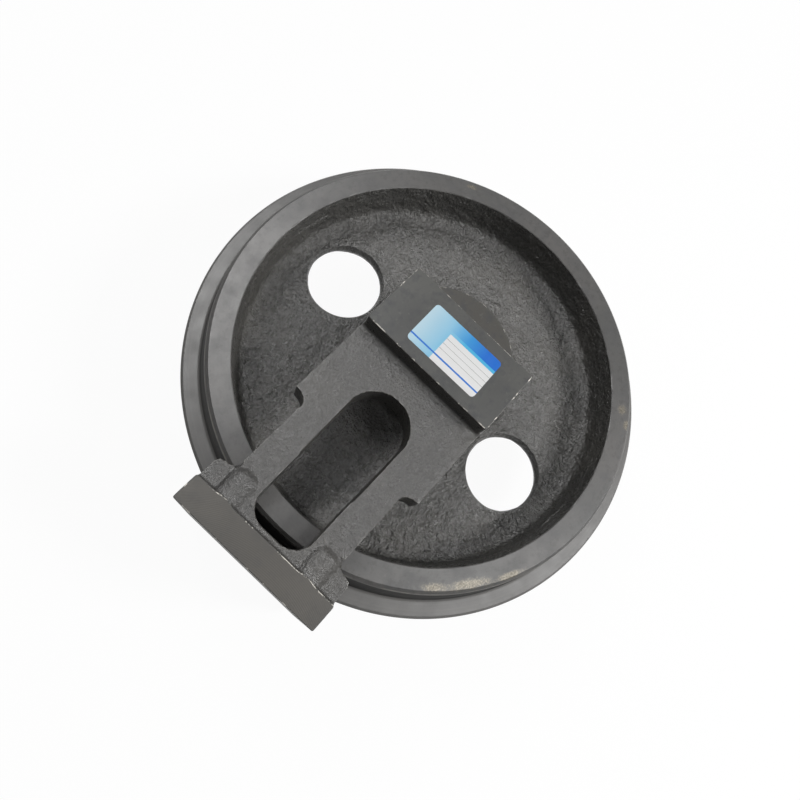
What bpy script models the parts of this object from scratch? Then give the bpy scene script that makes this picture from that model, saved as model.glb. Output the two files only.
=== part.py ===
"""Front idler of a tracked excavator, lying on its side as it is delivered.

A flanged cast wheel turns on two bronze bushings about a fixed shaft. The shaft
sits in a one-piece cast fork: two windowed arms, a guide pad over each end of
the shaft, and an end wall that is hollowed to let the wheel's flange pass.
Floating seals keep the oil in the hub.

Frame: Z is parallel to the wheel's axis and X runs from the axis to the end
wall. The origin is at the middle of the bounding box, at the height of the
lower guide pad's outer face. Metres.
"""
import math

import bmesh
import bpy
from mathutils import Matrix

# Running and fitting clearances.
FIT = 0.0003
SEAL_GAP = 0.0035
RIM_CLEARANCE = 0.004
FLANGE_CLEARANCE = 0.0035
CUT_OVERRUN = 0.02

# Wheel casting.
WHEEL_WIDTH = 0.093
FLANGE_RADIUS = 0.230
FLANGE_WIDTH = 0.028
FLANGE_DRAFT = 0.0012
FLANGE_CHAMFER = 0.0022
FLANGE_HEIGHT = 0.0172
TREAD_CONE = 0.0045
TREAD_ROOT_RADIUS = 0.003
RIM_CHAMFER = 0.003
RIM_THICKNESS = 0.0274
RIM_DRAFT = 0.006
WEB_THICKNESS = 0.014
WEB_RIM_FILLET = 0.022
WEB_HUB_FILLET = 0.012
HUB_RADIUS = 0.050
HUB_DRAFT = 0.005
HUB_SET_IN = 0.010
HOLE_TO_HUB = 0.0371
HOLE_TO_RIM = 0.0249
HOLE_ANGLE = math.radians(82.9)
HOLE_FLARE = 0.0025

# Shaft, bushings and floating seals.
SHAFT_RADIUS = 0.022
SHAFT_CHAMFER = 0.002
SHAFT_RECESS = 0.0085
OIL_GALLERY_RADIUS = 0.004
OIL_CROSS_RADIUS = 0.003
PLUG_THREAD_RADIUS = 0.008
PLUG_THREAD_DEPTH = 0.012
BUSHING_WALL = 0.0044
BUSHING_FLANGE_WIDTH = 0.0038
BUSHING_FLANGE_THICKNESS = 0.0024
OIL_CHAMBER_WIDTH = 0.008
OIL_CHAMBER_DEPTH = 0.003
SEAL_BORE_RADIUS = 0.038
SEAL_BORE_DEPTH = 0.011
SEAL_RING_INNER_RADIUS = 0.0285
SEAL_RING_BODY = 0.003
SEAL_RING_TAPER = 0.0006
SEAL_RING_SLOPE = 0.001
SEAL_RING_FACE_RADIUS = 0.036
SEAL_RING_FACE_THICKNESS = 0.0035
SEAL_RING_LENGTH = 0.009
ORING_SECTION_RADIUS = 0.00125
ORING_GROOVE_WIDTH = 0.0036
ORING_SET_IN = 0.009

# Fork casting.
ARM_THICKNESS = 0.028
BLOCK_HALF_WIDTH = 0.071
BLOCK_BACK = 0.028
BLOCK_FRONT = 0.117
ARM_HALF_WIDTH = 0.056
NOTCH_RADIUS = 0.011
EAR_LENGTH = 0.018
EAR_FILLET = 0.015
WALL_HALF_WIDTH = 0.0735
WALL_THICKNESS = 0.0245
WALL_BEHIND_FLANGE = 0.013
WALL_RISE = 0.005
SLOT_START = 0.064
SLOT_TO_WALL = 0.0025
SLOT_HALF_WIDTH = 0.031
SLOT_NARROWING = 0.0027
SLOT_END_RADIUS = 0.016
CAST_EDGE = 0.003
PAD_HALF_LENGTH = 0.034
PAD_HALF_WIDTH = 0.070
PAD_RISE = 0.018
PAD_DRAFT = 0.0025
PAD_EDGE = 0.0015
PAD_WALL = 0.0055
SHAFT_BOSS_RADIUS = 0.068
SHAFT_BOSS_DROP = 0.006
SEAL_BOSS_RADIUS = 0.054
SEAL_BOSS_DRAFT = 0.005
BULLET_RADIUS = 0.013
BULLET_OFFSET = 0.0445
BULLET_LENGTH = 0.030

# Shaft lock.
LOCK_PIN_RADIUS = 0.006
LOCK_PIN_END = 0.026
LOCK_PIN_OFFSET = 0.019
LOCK_PIN_RISE = 0.011
LOCK_PLUG_RADIUS = 0.0067
LOCK_PLUG_LENGTH = 0.008
LOCK_PLUG_SINK = 0.002
SOCKET_RADIUS = 0.0032
SOCKET_DEPTH = 0.004

# Oil plug.
OIL_PLUG_HEAD_RADIUS = 0.0105
OIL_PLUG_HEAD_THICKNESS = 0.0047
OIL_PLUG_LENGTH = 0.0105
WASHER_THICKNESS = 0.0009

# Facets round a full turn.
WHEEL_STEPS = 60
FORK_STEPS = 40
SHAFT_STEPS = 32
SMALL_STEPS = 24
PIN_STEPS = 16

# Vertices closer than this are one point.
WELD = 0.00001

# The exact solver loses bodies in the fork's long stack of unions.
FORK_SOLVER = "MANIFOLD"

# Radii of the wheel, and distances from its axis along the fork.
TREAD_RADIUS = FLANGE_RADIUS - FLANGE_HEIGHT
RIM_INNER_RADIUS = TREAD_RADIUS - RIM_THICKNESS
HOLE_RADIUS = (RIM_INNER_RADIUS - HUB_RADIUS - HOLE_TO_HUB - HOLE_TO_RIM) / 2
HOLE_ORBIT = RIM_INNER_RADIUS - HOLE_TO_RIM - HOLE_RADIUS
HOLLOW_RADIUS = FLANGE_RADIUS + FLANGE_CLEARANCE
WALL_OUTER = HOLLOW_RADIUS + WALL_BEHIND_FLANGE
WALL_INNER = WALL_OUTER - WALL_THICKNESS
EAR_START = WALL_INNER - EAR_LENGTH
SLOT_END = WALL_INNER - SLOT_TO_WALL
BULLET_TIP = WALL_INNER - BULLET_LENGTH

# Heights above the wheel's middle plane, which both halves share.
ARM_INNER = WHEEL_WIDTH / 2 + RIM_CLEARANCE
ARM_OUTER = ARM_INNER + ARM_THICKNESS
PAD_OUTER = ARM_OUTER + PAD_RISE
WALL_HEIGHT = ARM_OUTER + WALL_RISE
BOSS_TOP = ARM_OUTER - SHAFT_BOSS_DROP
HUB_END = WHEEL_WIDTH / 2 - HUB_SET_IN
LOCK_PIN_HEIGHT = ARM_INNER + LOCK_PIN_RISE
SEAL_FACE = HUB_END + SEAL_GAP / 2
SEAL_BOSS_END = HUB_END + SEAL_GAP
FORK_SEAL_FLOOR = SEAL_BOSS_END + SEAL_BORE_DEPTH
HUB_SEAL_FLOOR = HUB_END - SEAL_BORE_DEPTH
BUSHING_INNER = SHAFT_RADIUS + FIT
BUSHING_OUTER = BUSHING_INNER + BUSHING_WALL
BUSHING_FLANGE = BUSHING_OUTER + BUSHING_FLANGE_WIDTH
HUB_BORE = BUSHING_OUTER + FIT
BUSHING_TOP = HUB_SEAL_FLOOR + FIT + BUSHING_FLANGE_THICKNESS
SHAFT_BORE = SHAFT_RADIUS + FIT
BLIND_BORE_END = PAD_OUTER - PAD_WALL
SHAFT_TOP = BLIND_BORE_END - 2 * FIT
ORING_HEIGHT = BLIND_BORE_END - ORING_SET_IN
SHAFT_BOTTOM = PAD_OUTER - SHAFT_RECESS
THRUST_FACE = BUSHING_TOP + FIT
THRUST_RADIUS = BUSHING_OUTER


def clear_scene():
    for item in list(bpy.data.objects):
        bpy.data.objects.remove(item, do_unlink=True)


def new_collection(name):
    collection = bpy.data.collections.new(name)
    bpy.context.scene.collection.children.link(collection)
    return collection


def make_material(name, colour, roughness, metallic):
    material = bpy.data.materials.new(name)
    material.use_nodes = True
    shader = material.node_tree.nodes["Principled BSDF"]
    shader.inputs["Base Color"].default_value = (*colour, 1.0)
    shader.inputs["Roughness"].default_value = roughness
    shader.inputs["Metallic"].default_value = metallic
    return material


clear_scene()
PARTS = new_collection("front_idler")
TOOLS = new_collection("cutters")

CENTRE = bpy.data.objects.new("wheel_centre", None)
CENTRE.location = (-(WALL_OUTER - FLANGE_RADIUS) / 2, 0.0, PAD_OUTER)
PARTS.objects.link(CENTRE)

CHARCOAL_CASTING = make_material("charcoal_casting", (0.115, 0.115, 0.108), 0.62, 0.1)
CHARCOAL_MACHINED = make_material("charcoal_machined", (0.15, 0.15, 0.142), 0.5, 0.2)
GROUND_STEEL = make_material("ground_steel", (0.52, 0.52, 0.51), 0.28, 1.0)
BRONZE = make_material("bronze", (0.60, 0.42, 0.20), 0.35, 1.0)
SEAL_IRON = make_material("seal_iron", (0.36, 0.36, 0.37), 0.25, 1.0)
RUBBER = make_material("rubber", (0.02, 0.02, 0.02), 0.8, 0.0)
COPPER = make_material("copper", (0.72, 0.38, 0.24), 0.35, 1.0)
ZINC = make_material("zinc", (0.55, 0.55, 0.52), 0.4, 1.0)


def corner_arc(before, corner, after, radius, segments):
    """Points of the arc that rounds one corner, shortened where a side is short."""
    to_before = (before[0] - corner[0], before[1] - corner[1])
    to_after = (after[0] - corner[0], after[1] - corner[1])
    len_before = math.hypot(*to_before)
    len_after = math.hypot(*to_after)
    u = (to_before[0] / len_before, to_before[1] / len_before)
    v = (to_after[0] / len_after, to_after[1] / len_after)
    half = math.acos(max(-1.0, min(1.0, u[0] * v[0] + u[1] * v[1]))) / 2
    reach = min(radius / math.tan(half), 0.499 * len_before, 0.499 * len_after)
    radius = reach * math.tan(half)
    middle = (u[0] + v[0], u[1] + v[1])
    scale = radius / math.sin(half) / math.hypot(*middle)
    centre = (corner[0] + middle[0] * scale, corner[1] + middle[1] * scale)
    start = (corner[0] + u[0] * reach, corner[1] + u[1] * reach)
    end = (corner[0] + v[0] * reach, corner[1] + v[1] * reach)
    first = math.atan2(start[1] - centre[1], start[0] - centre[0])
    sweep = math.atan2(end[1] - centre[1], end[0] - centre[0]) - first
    sweep = (sweep + math.pi) % (2 * math.pi) - math.pi
    points = []
    for step in range(segments + 1):
        angle = first + sweep * step / segments
        points.append((centre[0] + radius * math.cos(angle), centre[1] + radius * math.sin(angle)))
    return points


def rounded(corners, closed=True):
    """Turns corners of (x, y), or (x, y, radius, segments), into a rounded outline."""
    points = []
    count = len(corners)
    for index, corner in enumerate(corners):
        is_end = not closed and index in (0, count - 1)
        if len(corner) == 2 or is_end:
            points.append((corner[0], corner[1]))
            continue
        before = corners[index - 1]
        after = corners[(index + 1) % count]
        points.extend(corner_arc(before, corner, after, corner[2], corner[3]))
    return points


def add_object(name, mesh, collection, material=None):
    item = bpy.data.objects.new(name, mesh)
    collection.objects.link(item)
    item.parent = CENTRE
    if material is not None:
        mesh.materials.append(material)
    if collection is TOOLS:
        item.hide_render = True
        item.display_type = "WIRE"
    return item


def turned(name, profile, steps, collection, material=None, closed=True):
    """A solid of revolution about Z. The profile runs down its outer side."""
    mesh = bpy.data.meshes.new(name)
    verts = [(radius, 0.0, height) for radius, height in profile]
    edges = [(index, index + 1) for index in range(len(verts) - 1)]
    if closed:
        edges.append((len(verts) - 1, 0))
    mesh.from_pydata(verts, edges, [])
    item = add_object(name, mesh, collection, material)
    screw = item.modifiers.new("Turn", "SCREW")
    screw.axis = "Z"
    screw.angle = 2 * math.pi
    screw.screw_offset = 0.0
    screw.steps = steps
    screw.render_steps = steps
    screw.use_merge_vertices = True
    screw.merge_threshold = WELD
    screw.use_smooth_shade = True
    return item


def flipped(profile):
    """The same profile mirrored through the wheel's middle plane, still running down."""
    return [(radius, -height) for radius, height in reversed(profile)]


def on_side(profile, side):
    return profile if side > 0 else flipped(profile)


def box(name, low, high, collection, material=None):
    mesh = bpy.data.meshes.new(name)
    form = bmesh.new()
    bmesh.ops.create_cube(form, size=1.0)
    size = [high[axis] - low[axis] for axis in range(3)]
    middle = [(high[axis] + low[axis]) / 2 for axis in range(3)]
    bmesh.ops.scale(form, vec=size, verts=form.verts)
    bmesh.ops.translate(form, vec=middle, verts=form.verts)
    form.to_mesh(mesh)
    form.free()
    return add_object(name, mesh, collection, material)


def cylinder(name, radius, low, high, steps, collection, top_radius=None):
    mesh = bpy.data.meshes.new(name)
    form = bmesh.new()
    upper = radius if top_radius is None else top_radius
    lift = Matrix.Translation((0.0, 0.0, (low + high) / 2))
    bmesh.ops.create_cone(form, cap_ends=True, segments=steps, radius1=radius, radius2=upper,
                          depth=high - low, matrix=lift)
    form.to_mesh(mesh)
    form.free()
    return add_object(name, mesh, collection)


def add_bevel(item, width, segments=2, angle=35.0):
    bevel = item.modifiers.new("Edges", "BEVEL")
    bevel.width = width
    bevel.segments = segments
    bevel.limit_method = "ANGLE"
    bevel.angle_limit = math.radians(angle)
    return bevel


def combine(item, other, operation, solver="EXACT"):
    boolean = item.modifiers.new(operation.title() + " " + other.name, "BOOLEAN")
    boolean.operation = operation
    boolean.solver = solver
    boolean.object = other
    return boolean


def smooth_round_faces(item, angle=38.0):
    """Bakes the modifiers so that round faces shade smooth and real edges stay sharp."""
    graph = bpy.context.evaluated_depsgraph_get()
    mesh = bpy.data.meshes.new_from_object(item.evaluated_get(graph))
    item.modifiers.clear()
    item.data = mesh
    form = bmesh.new()
    form.from_mesh(mesh)
    bmesh.ops.remove_doubles(form, verts=form.verts, dist=WELD)
    bmesh.ops.dissolve_degenerate(form, dist=WELD, edges=form.edges)
    bmesh.ops.dissolve_limit(form, angle_limit=math.radians(0.1), verts=form.verts,
                             edges=form.edges)
    form.to_mesh(mesh)
    form.free()
    mesh.shade_smooth()
    mesh.set_sharp_from_angle(angle=math.radians(angle))


def arm_outline():
    """Outline of one arm: wide block, round notches, narrow arm, ears at the wall."""
    lower = [
        (-BLOCK_BACK, -BLOCK_HALF_WIDTH),
        (BLOCK_FRONT, -BLOCK_HALF_WIDTH, 0.002, 2),
        (BLOCK_FRONT + NOTCH_RADIUS / 4, -ARM_HALF_WIDTH, NOTCH_RADIUS, 5),
        (EAR_START, -ARM_HALF_WIDTH, EAR_FILLET, 5),
        (EAR_START, -WALL_HALF_WIDTH + 0.001, 0.006, 3),
        (WALL_INNER + 0.004, -WALL_HALF_WIDTH + 0.001),
    ]
    upper = [(corner[0], -corner[1], *corner[2:]) for corner in reversed(lower)]
    return rounded(lower + upper)


def slot_outline():
    """Window in one arm: a full round at the block, slightly narrower at the wall."""
    near = SLOT_HALF_WIDTH
    far = SLOT_HALF_WIDTH - SLOT_NARROWING
    corners = [
        (SLOT_START, -near, 0.998 * near, 6),
        (SLOT_END, -far, SLOT_END_RADIUS, 5),
        (SLOT_END, far, SLOT_END_RADIUS, 5),
        (SLOT_START, near, 0.998 * near, 6),
    ]
    return rounded(corners)


def extruded(name, outlines, low, high, collection):
    """A flat outline, with any holes in it, given thickness and made a welded mesh."""
    curve = bpy.data.curves.new(name + "_outline", "CURVE")
    curve.dimensions = "2D"
    curve.fill_mode = "BOTH"
    curve.extrude = (high - low) / 2
    for outline in outlines:
        spline = curve.splines.new("POLY")
        spline.points.add(len(outline) - 1)
        for point, place in zip(spline.points, outline):
            point.co = (place[0], place[1], 0.0, 1.0)
        spline.use_cyclic_u = True
    sketch = bpy.data.objects.new(name + "_sketch", curve)
    collection.objects.link(sketch)
    sketch.location = (0.0, 0.0, (low + high) / 2)
    bpy.context.view_layer.update()
    graph = bpy.context.evaluated_depsgraph_get()
    mesh = bpy.data.meshes.new_from_object(sketch.evaluated_get(graph))
    mesh.transform(sketch.matrix_world)
    bpy.data.objects.remove(sketch, do_unlink=True)
    form = bmesh.new()
    form.from_mesh(mesh)
    bmesh.ops.remove_doubles(form, verts=form.verts, dist=WELD)
    bmesh.ops.recalc_face_normals(form, faces=form.faces)
    form.to_mesh(mesh)
    form.free()
    return add_object(name, mesh, collection)


def make_wheel():
    """Rim with two treads and a centre flange, web with two holes, bored hub."""
    half = WHEEL_WIDTH / 2
    land = FLANGE_WIDTH / 2
    web = WEB_THICKNESS / 2
    rim_face_radius = TREAD_RADIUS - TREAD_CONE - RIM_CHAMFER
    upper = [
        (HUB_BORE, OIL_CHAMBER_WIDTH / 2),
        (HUB_BORE, HUB_SEAL_FLOOR),
        (SEAL_BORE_RADIUS, HUB_SEAL_FLOOR),
        (SEAL_BORE_RADIUS, HUB_END),
        (HUB_RADIUS, HUB_END, 0.003, 1),
        (HUB_RADIUS + HUB_DRAFT, web, WEB_HUB_FILLET, 2),
        (RIM_INNER_RADIUS - RIM_DRAFT, web, WEB_RIM_FILLET, 3),
        (RIM_INNER_RADIUS, half, 0.0015, 1),
        (rim_face_radius, half),
        (rim_face_radius + RIM_CHAMFER, half - RIM_CHAMFER),
        (TREAD_RADIUS, land + FLANGE_DRAFT, TREAD_ROOT_RADIUS, 1),
        (FLANGE_RADIUS - FLANGE_CHAMFER, land),
        (FLANGE_RADIUS, land - FLANGE_CHAMFER),
    ]
    lower = [(corner[0], -corner[1], *corner[2:]) for corner in reversed(upper)]
    chamber = HUB_BORE + OIL_CHAMBER_DEPTH
    closing = [(chamber, -OIL_CHAMBER_WIDTH / 2), (chamber, OIL_CHAMBER_WIDTH / 2)]
    profile = rounded(upper + lower + closing)
    wheel = turned("wheel", profile, WHEEL_STEPS, PARTS, CHARCOAL_MACHINED)
    flare = HOLE_RADIUS + HOLE_FLARE
    spool = [
        (0.0, web + CUT_OVERRUN),
        (flare + CUT_OVERRUN, web + CUT_OVERRUN),
        (flare, web),
        (HOLE_RADIUS, web - HOLE_FLARE),
        (HOLE_RADIUS, -web + HOLE_FLARE),
        (flare, -web),
        (flare + CUT_OVERRUN, -web - CUT_OVERRUN),
        (0.0, -web - CUT_OVERRUN),
    ]
    for index in range(2):
        angle = HOLE_ANGLE + index * math.pi
        cutter = turned("web_hole_cutter_%d" % index, spool, SHAFT_STEPS, TOOLS, closed=False)
        cutter.location = (HOLE_ORBIT * math.cos(angle), HOLE_ORBIT * math.sin(angle), 0.0)
        combine(wheel, cutter, "DIFFERENCE")
    smooth_round_faces(wheel, 30.0)


def make_fork_wall():
    """End wall across the fork, hollowed on a radius so that the flange passes it."""
    wall = box("fork", (WALL_INNER, -WALL_HALF_WIDTH, -WALL_HEIGHT),
               (WALL_OUTER, WALL_HALF_WIDTH, WALL_HEIGHT), PARTS, CHARCOAL_CASTING)
    add_bevel(wall, 0.0012, 1)
    sweep = ARM_INNER + ARM_THICKNESS / 8
    hollow = cylinder("flange_hollow_cutter", HOLLOW_RADIUS, -sweep, sweep, 120, TOOLS)
    combine(wall, hollow, "DIFFERENCE", FORK_SOLVER)
    return wall


def add_fork_side(fork, side):
    """One arm with its guide pad, its round shaft and seal boss, and two bullet bosses."""
    tag = "upper" if side > 0 else "lower"
    low, high = sorted((side * ARM_INNER, side * ARM_OUTER))
    arm = extruded("arm_" + tag, [arm_outline(), slot_outline()], low, high, TOOLS)
    add_bevel(arm, CAST_EDGE, 1, 60.0)
    combine(fork, arm, "UNION", FORK_SOLVER)

    boss_profile = rounded([
        (0.0, BOSS_TOP),
        (SHAFT_BOSS_RADIUS, BOSS_TOP, 0.003, 1),
        (SHAFT_BOSS_RADIUS + 0.001, ARM_INNER + 0.0005),
        (0.0, ARM_INNER + 0.0005),
    ], closed=False)
    boss = turned("shaft_boss_" + tag, on_side(boss_profile, side), FORK_STEPS, TOOLS, closed=False)
    reach = SHAFT_BOSS_RADIUS + 0.01
    trim = box("boss_trim_" + tag, (0.0, -reach, -PAD_OUTER), (reach, reach, PAD_OUTER), TOOLS)
    combine(boss, trim, "DIFFERENCE")
    combine(fork, boss, "UNION", FORK_SOLVER)

    seal_profile = rounded([
        (0.0, ARM_INNER + ARM_THICKNESS / 2),
        (SEAL_BOSS_RADIUS + SEAL_BOSS_DRAFT, ARM_INNER + ARM_THICKNESS / 2),
        (SEAL_BOSS_RADIUS, SEAL_BOSS_END, 0.002, 1),
        (THRUST_RADIUS, SEAL_BOSS_END),
        (THRUST_RADIUS, THRUST_FACE),
        (0.0, THRUST_FACE),
    ], closed=False)
    seal_boss = turned("seal_boss_" + tag, on_side(seal_profile, side), SHAFT_STEPS, TOOLS,
                       closed=False)
    combine(fork, seal_boss, "UNION", FORK_SOLVER)

    base = ARM_INNER + ARM_THICKNESS / 3
    low, high = sorted((side * base, side * PAD_OUTER))
    pad = box("pad_" + tag, (-PAD_HALF_LENGTH, -PAD_HALF_WIDTH, low),
              (PAD_HALF_LENGTH, PAD_HALF_WIDTH, high), TOOLS)
    for vertex in pad.data.vertices:
        if abs(vertex.co.z) < (base + PAD_OUTER) / 2:
            vertex.co.x += math.copysign(PAD_DRAFT, vertex.co.x)
    add_bevel(pad, PAD_EDGE, 1)
    combine(fork, pad, "UNION", FORK_SOLVER)

    height = side * (WALL_HEIGHT - 0.0005 - BULLET_RADIUS)
    shank = BULLET_TIP + BULLET_RADIUS
    bullet_profile = rounded([
        (0.0, WALL_INNER + 0.005),
        (BULLET_RADIUS, WALL_INNER + 0.005),
        (BULLET_RADIUS, BULLET_TIP, 0.999 * BULLET_RADIUS, 4),
        (0.0, BULLET_TIP),
    ], closed=False)
    for index, offset in enumerate((-BULLET_OFFSET, BULLET_OFFSET)):
        bullet = turned("bullet_%s_%d" % (tag, index),
                        [(radius, along - shank) for radius, along in bullet_profile],
                        PIN_STEPS, TOOLS, closed=False)
        bullet.rotation_euler = (0.0, math.pi / 2, 0.0)
        bullet.location = (shank, offset, height)
        combine(fork, bullet, "UNION", FORK_SOLVER)


def seal_bore_cutter(side):
    """Ring-shaped pocket for the fixed seal ring, round the thrust face."""
    profile = [
        (THRUST_RADIUS, FORK_SEAL_FLOOR),
        (SEAL_BORE_RADIUS, FORK_SEAL_FLOOR),
        (SEAL_BORE_RADIUS, SEAL_BOSS_END - 0.002),
        (THRUST_RADIUS, SEAL_BOSS_END - 0.002),
    ]
    tag = "upper" if side > 0 else "lower"
    return turned("seal_bore_cutter_" + tag, on_side(profile, side), FORK_STEPS, TOOLS)


def lock_bore_cutter(side, name):
    """Stepped bore across the boss: pin bore, then the wider bore of its plug."""
    pin_bore = LOCK_PIN_RADIUS + FIT
    plug_bore = LOCK_PLUG_RADIUS + FIT
    edge = math.sqrt(SHAFT_BOSS_RADIUS ** 2 - LOCK_PIN_OFFSET ** 2)
    step = -edge + LOCK_PLUG_SINK + LOCK_PLUG_LENGTH + FIT
    profile = [
        (0.0, LOCK_PIN_END + 2 * FIT),
        (pin_bore, LOCK_PIN_END + 2 * FIT),
        (pin_bore, step),
        (plug_bore, step),
        (plug_bore, -edge - CUT_OVERRUN),
        (0.0, -edge - CUT_OVERRUN),
    ]
    cutter = turned(name, profile, PIN_STEPS, TOOLS, closed=False)
    cutter.rotation_euler = (0.0, math.pi / 2, 0.0)
    cutter.location = (0.0, LOCK_PIN_OFFSET, side * LOCK_PIN_HEIGHT)
    return cutter


def make_fork():
    fork = make_fork_wall()
    for side in (1, -1):
        add_fork_side(fork, side)
    for side in (1, -1):
        combine(fork, seal_bore_cutter(side), "DIFFERENCE", FORK_SOLVER)
    bore = cylinder("shaft_bore_cutter", SHAFT_BORE, -PAD_OUTER - 0.01, BLIND_BORE_END,
                    SHAFT_STEPS, TOOLS)
    combine(fork, bore, "DIFFERENCE", FORK_SOLVER)
    for side in (1, -1):
        tag = "upper" if side > 0 else "lower"
        combine(fork, lock_bore_cutter(side, "fork_lock_cutter_" + tag), "DIFFERENCE", FORK_SOLVER)
    smooth_round_faces(fork)


def make_shaft():
    """Ground shaft with O-ring grooves, an oil gallery and a groove for each lock pin."""
    groove = SHAFT_BORE - 2 * ORING_SECTION_RADIUS - 2 * FIT
    half_groove = ORING_GROOVE_WIDTH / 2
    profile = [
        (0.0, SHAFT_TOP),
        (SHAFT_RADIUS - SHAFT_CHAMFER, SHAFT_TOP),
        (SHAFT_RADIUS, SHAFT_TOP - SHAFT_CHAMFER),
        (SHAFT_RADIUS, ORING_HEIGHT + half_groove),
        (groove, ORING_HEIGHT + half_groove),
        (groove, ORING_HEIGHT - half_groove),
        (SHAFT_RADIUS, ORING_HEIGHT - half_groove),
        (SHAFT_RADIUS, -ORING_HEIGHT + half_groove),
        (groove, -ORING_HEIGHT + half_groove),
        (groove, -ORING_HEIGHT - half_groove),
        (SHAFT_RADIUS, -ORING_HEIGHT - half_groove),
        (SHAFT_RADIUS, -SHAFT_BOTTOM + SHAFT_CHAMFER),
        (SHAFT_RADIUS - SHAFT_CHAMFER, -SHAFT_BOTTOM),
        (PLUG_THREAD_RADIUS, -SHAFT_BOTTOM),
        (PLUG_THREAD_RADIUS, -SHAFT_BOTTOM + PLUG_THREAD_DEPTH),
        (OIL_GALLERY_RADIUS, -SHAFT_BOTTOM + PLUG_THREAD_DEPTH),
        (OIL_GALLERY_RADIUS, OIL_CROSS_RADIUS),
        (0.0, OIL_CROSS_RADIUS + OIL_GALLERY_RADIUS / 2),
    ]
    shaft = turned("shaft", profile, SHAFT_STEPS, PARTS, GROUND_STEEL, closed=False)
    for side in (1, -1):
        tag = "upper" if side > 0 else "lower"
        combine(shaft, lock_bore_cutter(side, "shaft_lock_cutter_" + tag), "DIFFERENCE")
    cross = cylinder("oil_cross_cutter", OIL_CROSS_RADIUS, 0.0, SHAFT_RADIUS + 0.01, 12, TOOLS)
    cross.rotation_euler = (math.pi / 2, 0.0, 0.0)
    cross.location = (0.0, 0.0, -OIL_CROSS_RADIUS)
    combine(shaft, cross, "DIFFERENCE")
    smooth_round_faces(shaft)


def make_bushing(side):
    """Bronze bushing with a thrust flange at the seal side of the hub."""
    profile = [
        (BUSHING_INNER, BUSHING_TOP),
        (BUSHING_FLANGE, BUSHING_TOP),
        (BUSHING_FLANGE, BUSHING_TOP - BUSHING_FLANGE_THICKNESS),
        (BUSHING_OUTER, BUSHING_TOP - BUSHING_FLANGE_THICKNESS),
        (BUSHING_OUTER, OIL_CHAMBER_WIDTH / 2),
        (BUSHING_INNER, OIL_CHAMBER_WIDTH / 2),
    ]
    tag = "upper" if side > 0 else "lower"
    bushing = turned("bushing_" + tag, on_side(profile, side), SHAFT_STEPS, PARTS,
                     BRONZE)
    smooth_round_faces(bushing)


def seal_ring_profile():
    """Fork-side ring of a floating seal, lying above the contact plane."""
    face = SEAL_FACE + FIT / 2
    body = SEAL_RING_INNER_RADIUS + SEAL_RING_BODY
    return [
        (SEAL_RING_INNER_RADIUS, face + SEAL_RING_LENGTH),
        (body, face + SEAL_RING_LENGTH),
        (body + SEAL_RING_TAPER, face + SEAL_RING_FACE_THICKNESS + SEAL_RING_SLOPE),
        (SEAL_RING_FACE_RADIUS, face + SEAL_RING_FACE_THICKNESS),
        (SEAL_RING_FACE_RADIUS, face),
        (SEAL_RING_INNER_RADIUS, face),
    ]


def toric_profile():
    """Rubber ring between a seal ring and its bore, as a round section."""
    body = SEAL_RING_INNER_RADIUS + SEAL_RING_BODY + SEAL_RING_TAPER
    radius = (SEAL_BORE_RADIUS - body) / 2 - FIT
    centre = (SEAL_BORE_RADIUS + body) / 2
    height = SEAL_FACE + SEAL_RING_FACE_THICKNESS + SEAL_RING_SLOPE + radius
    points = []
    for step in range(6):
        angle = math.pi / 3 - 2 * math.pi * step / 6
        points.append((centre + radius * math.cos(angle), height + radius * math.sin(angle)))
    return points


def mirrored_about(profile, plane):
    return [(radius, 2 * plane - height) for radius, height in reversed(profile)]


def make_seals(side):
    """One floating seal: two lapped rings and two torics, half in the hub, half in the fork."""
    tag = "upper" if side > 0 else "lower"
    fixed_ring = seal_ring_profile()
    fixed_toric = toric_profile()
    pieces = (
        ("fork_seal_ring_", fixed_ring, SEAL_IRON),
        ("fork_toric_", fixed_toric, RUBBER),
        ("wheel_seal_ring_", mirrored_about(fixed_ring, SEAL_FACE), SEAL_IRON),
        ("wheel_toric_", mirrored_about(fixed_toric, SEAL_FACE), RUBBER),
    )
    for name, profile, material in pieces:
        piece = turned(name + tag, on_side(profile, side), SMALL_STEPS, PARTS, material)
        smooth_round_faces(piece, 50.0)


def make_shaft_oring(side):
    tag = "upper" if side > 0 else "lower"
    centre = SHAFT_BORE - FIT - ORING_SECTION_RADIUS
    points = []
    for step in range(6):
        angle = math.pi * 0.5 - 2 * math.pi * step / 6
        points.append((centre + ORING_SECTION_RADIUS * math.cos(angle),
                       side * ORING_HEIGHT + ORING_SECTION_RADIUS * math.sin(angle)))
    ring = turned("shaft_oring_" + tag, points, SMALL_STEPS, PARTS, RUBBER)
    smooth_round_faces(ring, 70.0)


def hex_socket(name, top):
    """Six-sided socket cutter, open at the given height and running down from it."""
    mesh = bpy.data.meshes.new(name)
    form = bmesh.new()
    lift = Matrix.Translation((0.0, 0.0, top - SOCKET_DEPTH / 2 + 0.001))
    bmesh.ops.create_cone(form, cap_ends=True, segments=6, radius1=SOCKET_RADIUS,
                          radius2=SOCKET_RADIUS, depth=SOCKET_DEPTH + 0.002, matrix=lift)
    form.to_mesh(mesh)
    form.free()
    return add_object(name, mesh, TOOLS)


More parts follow.
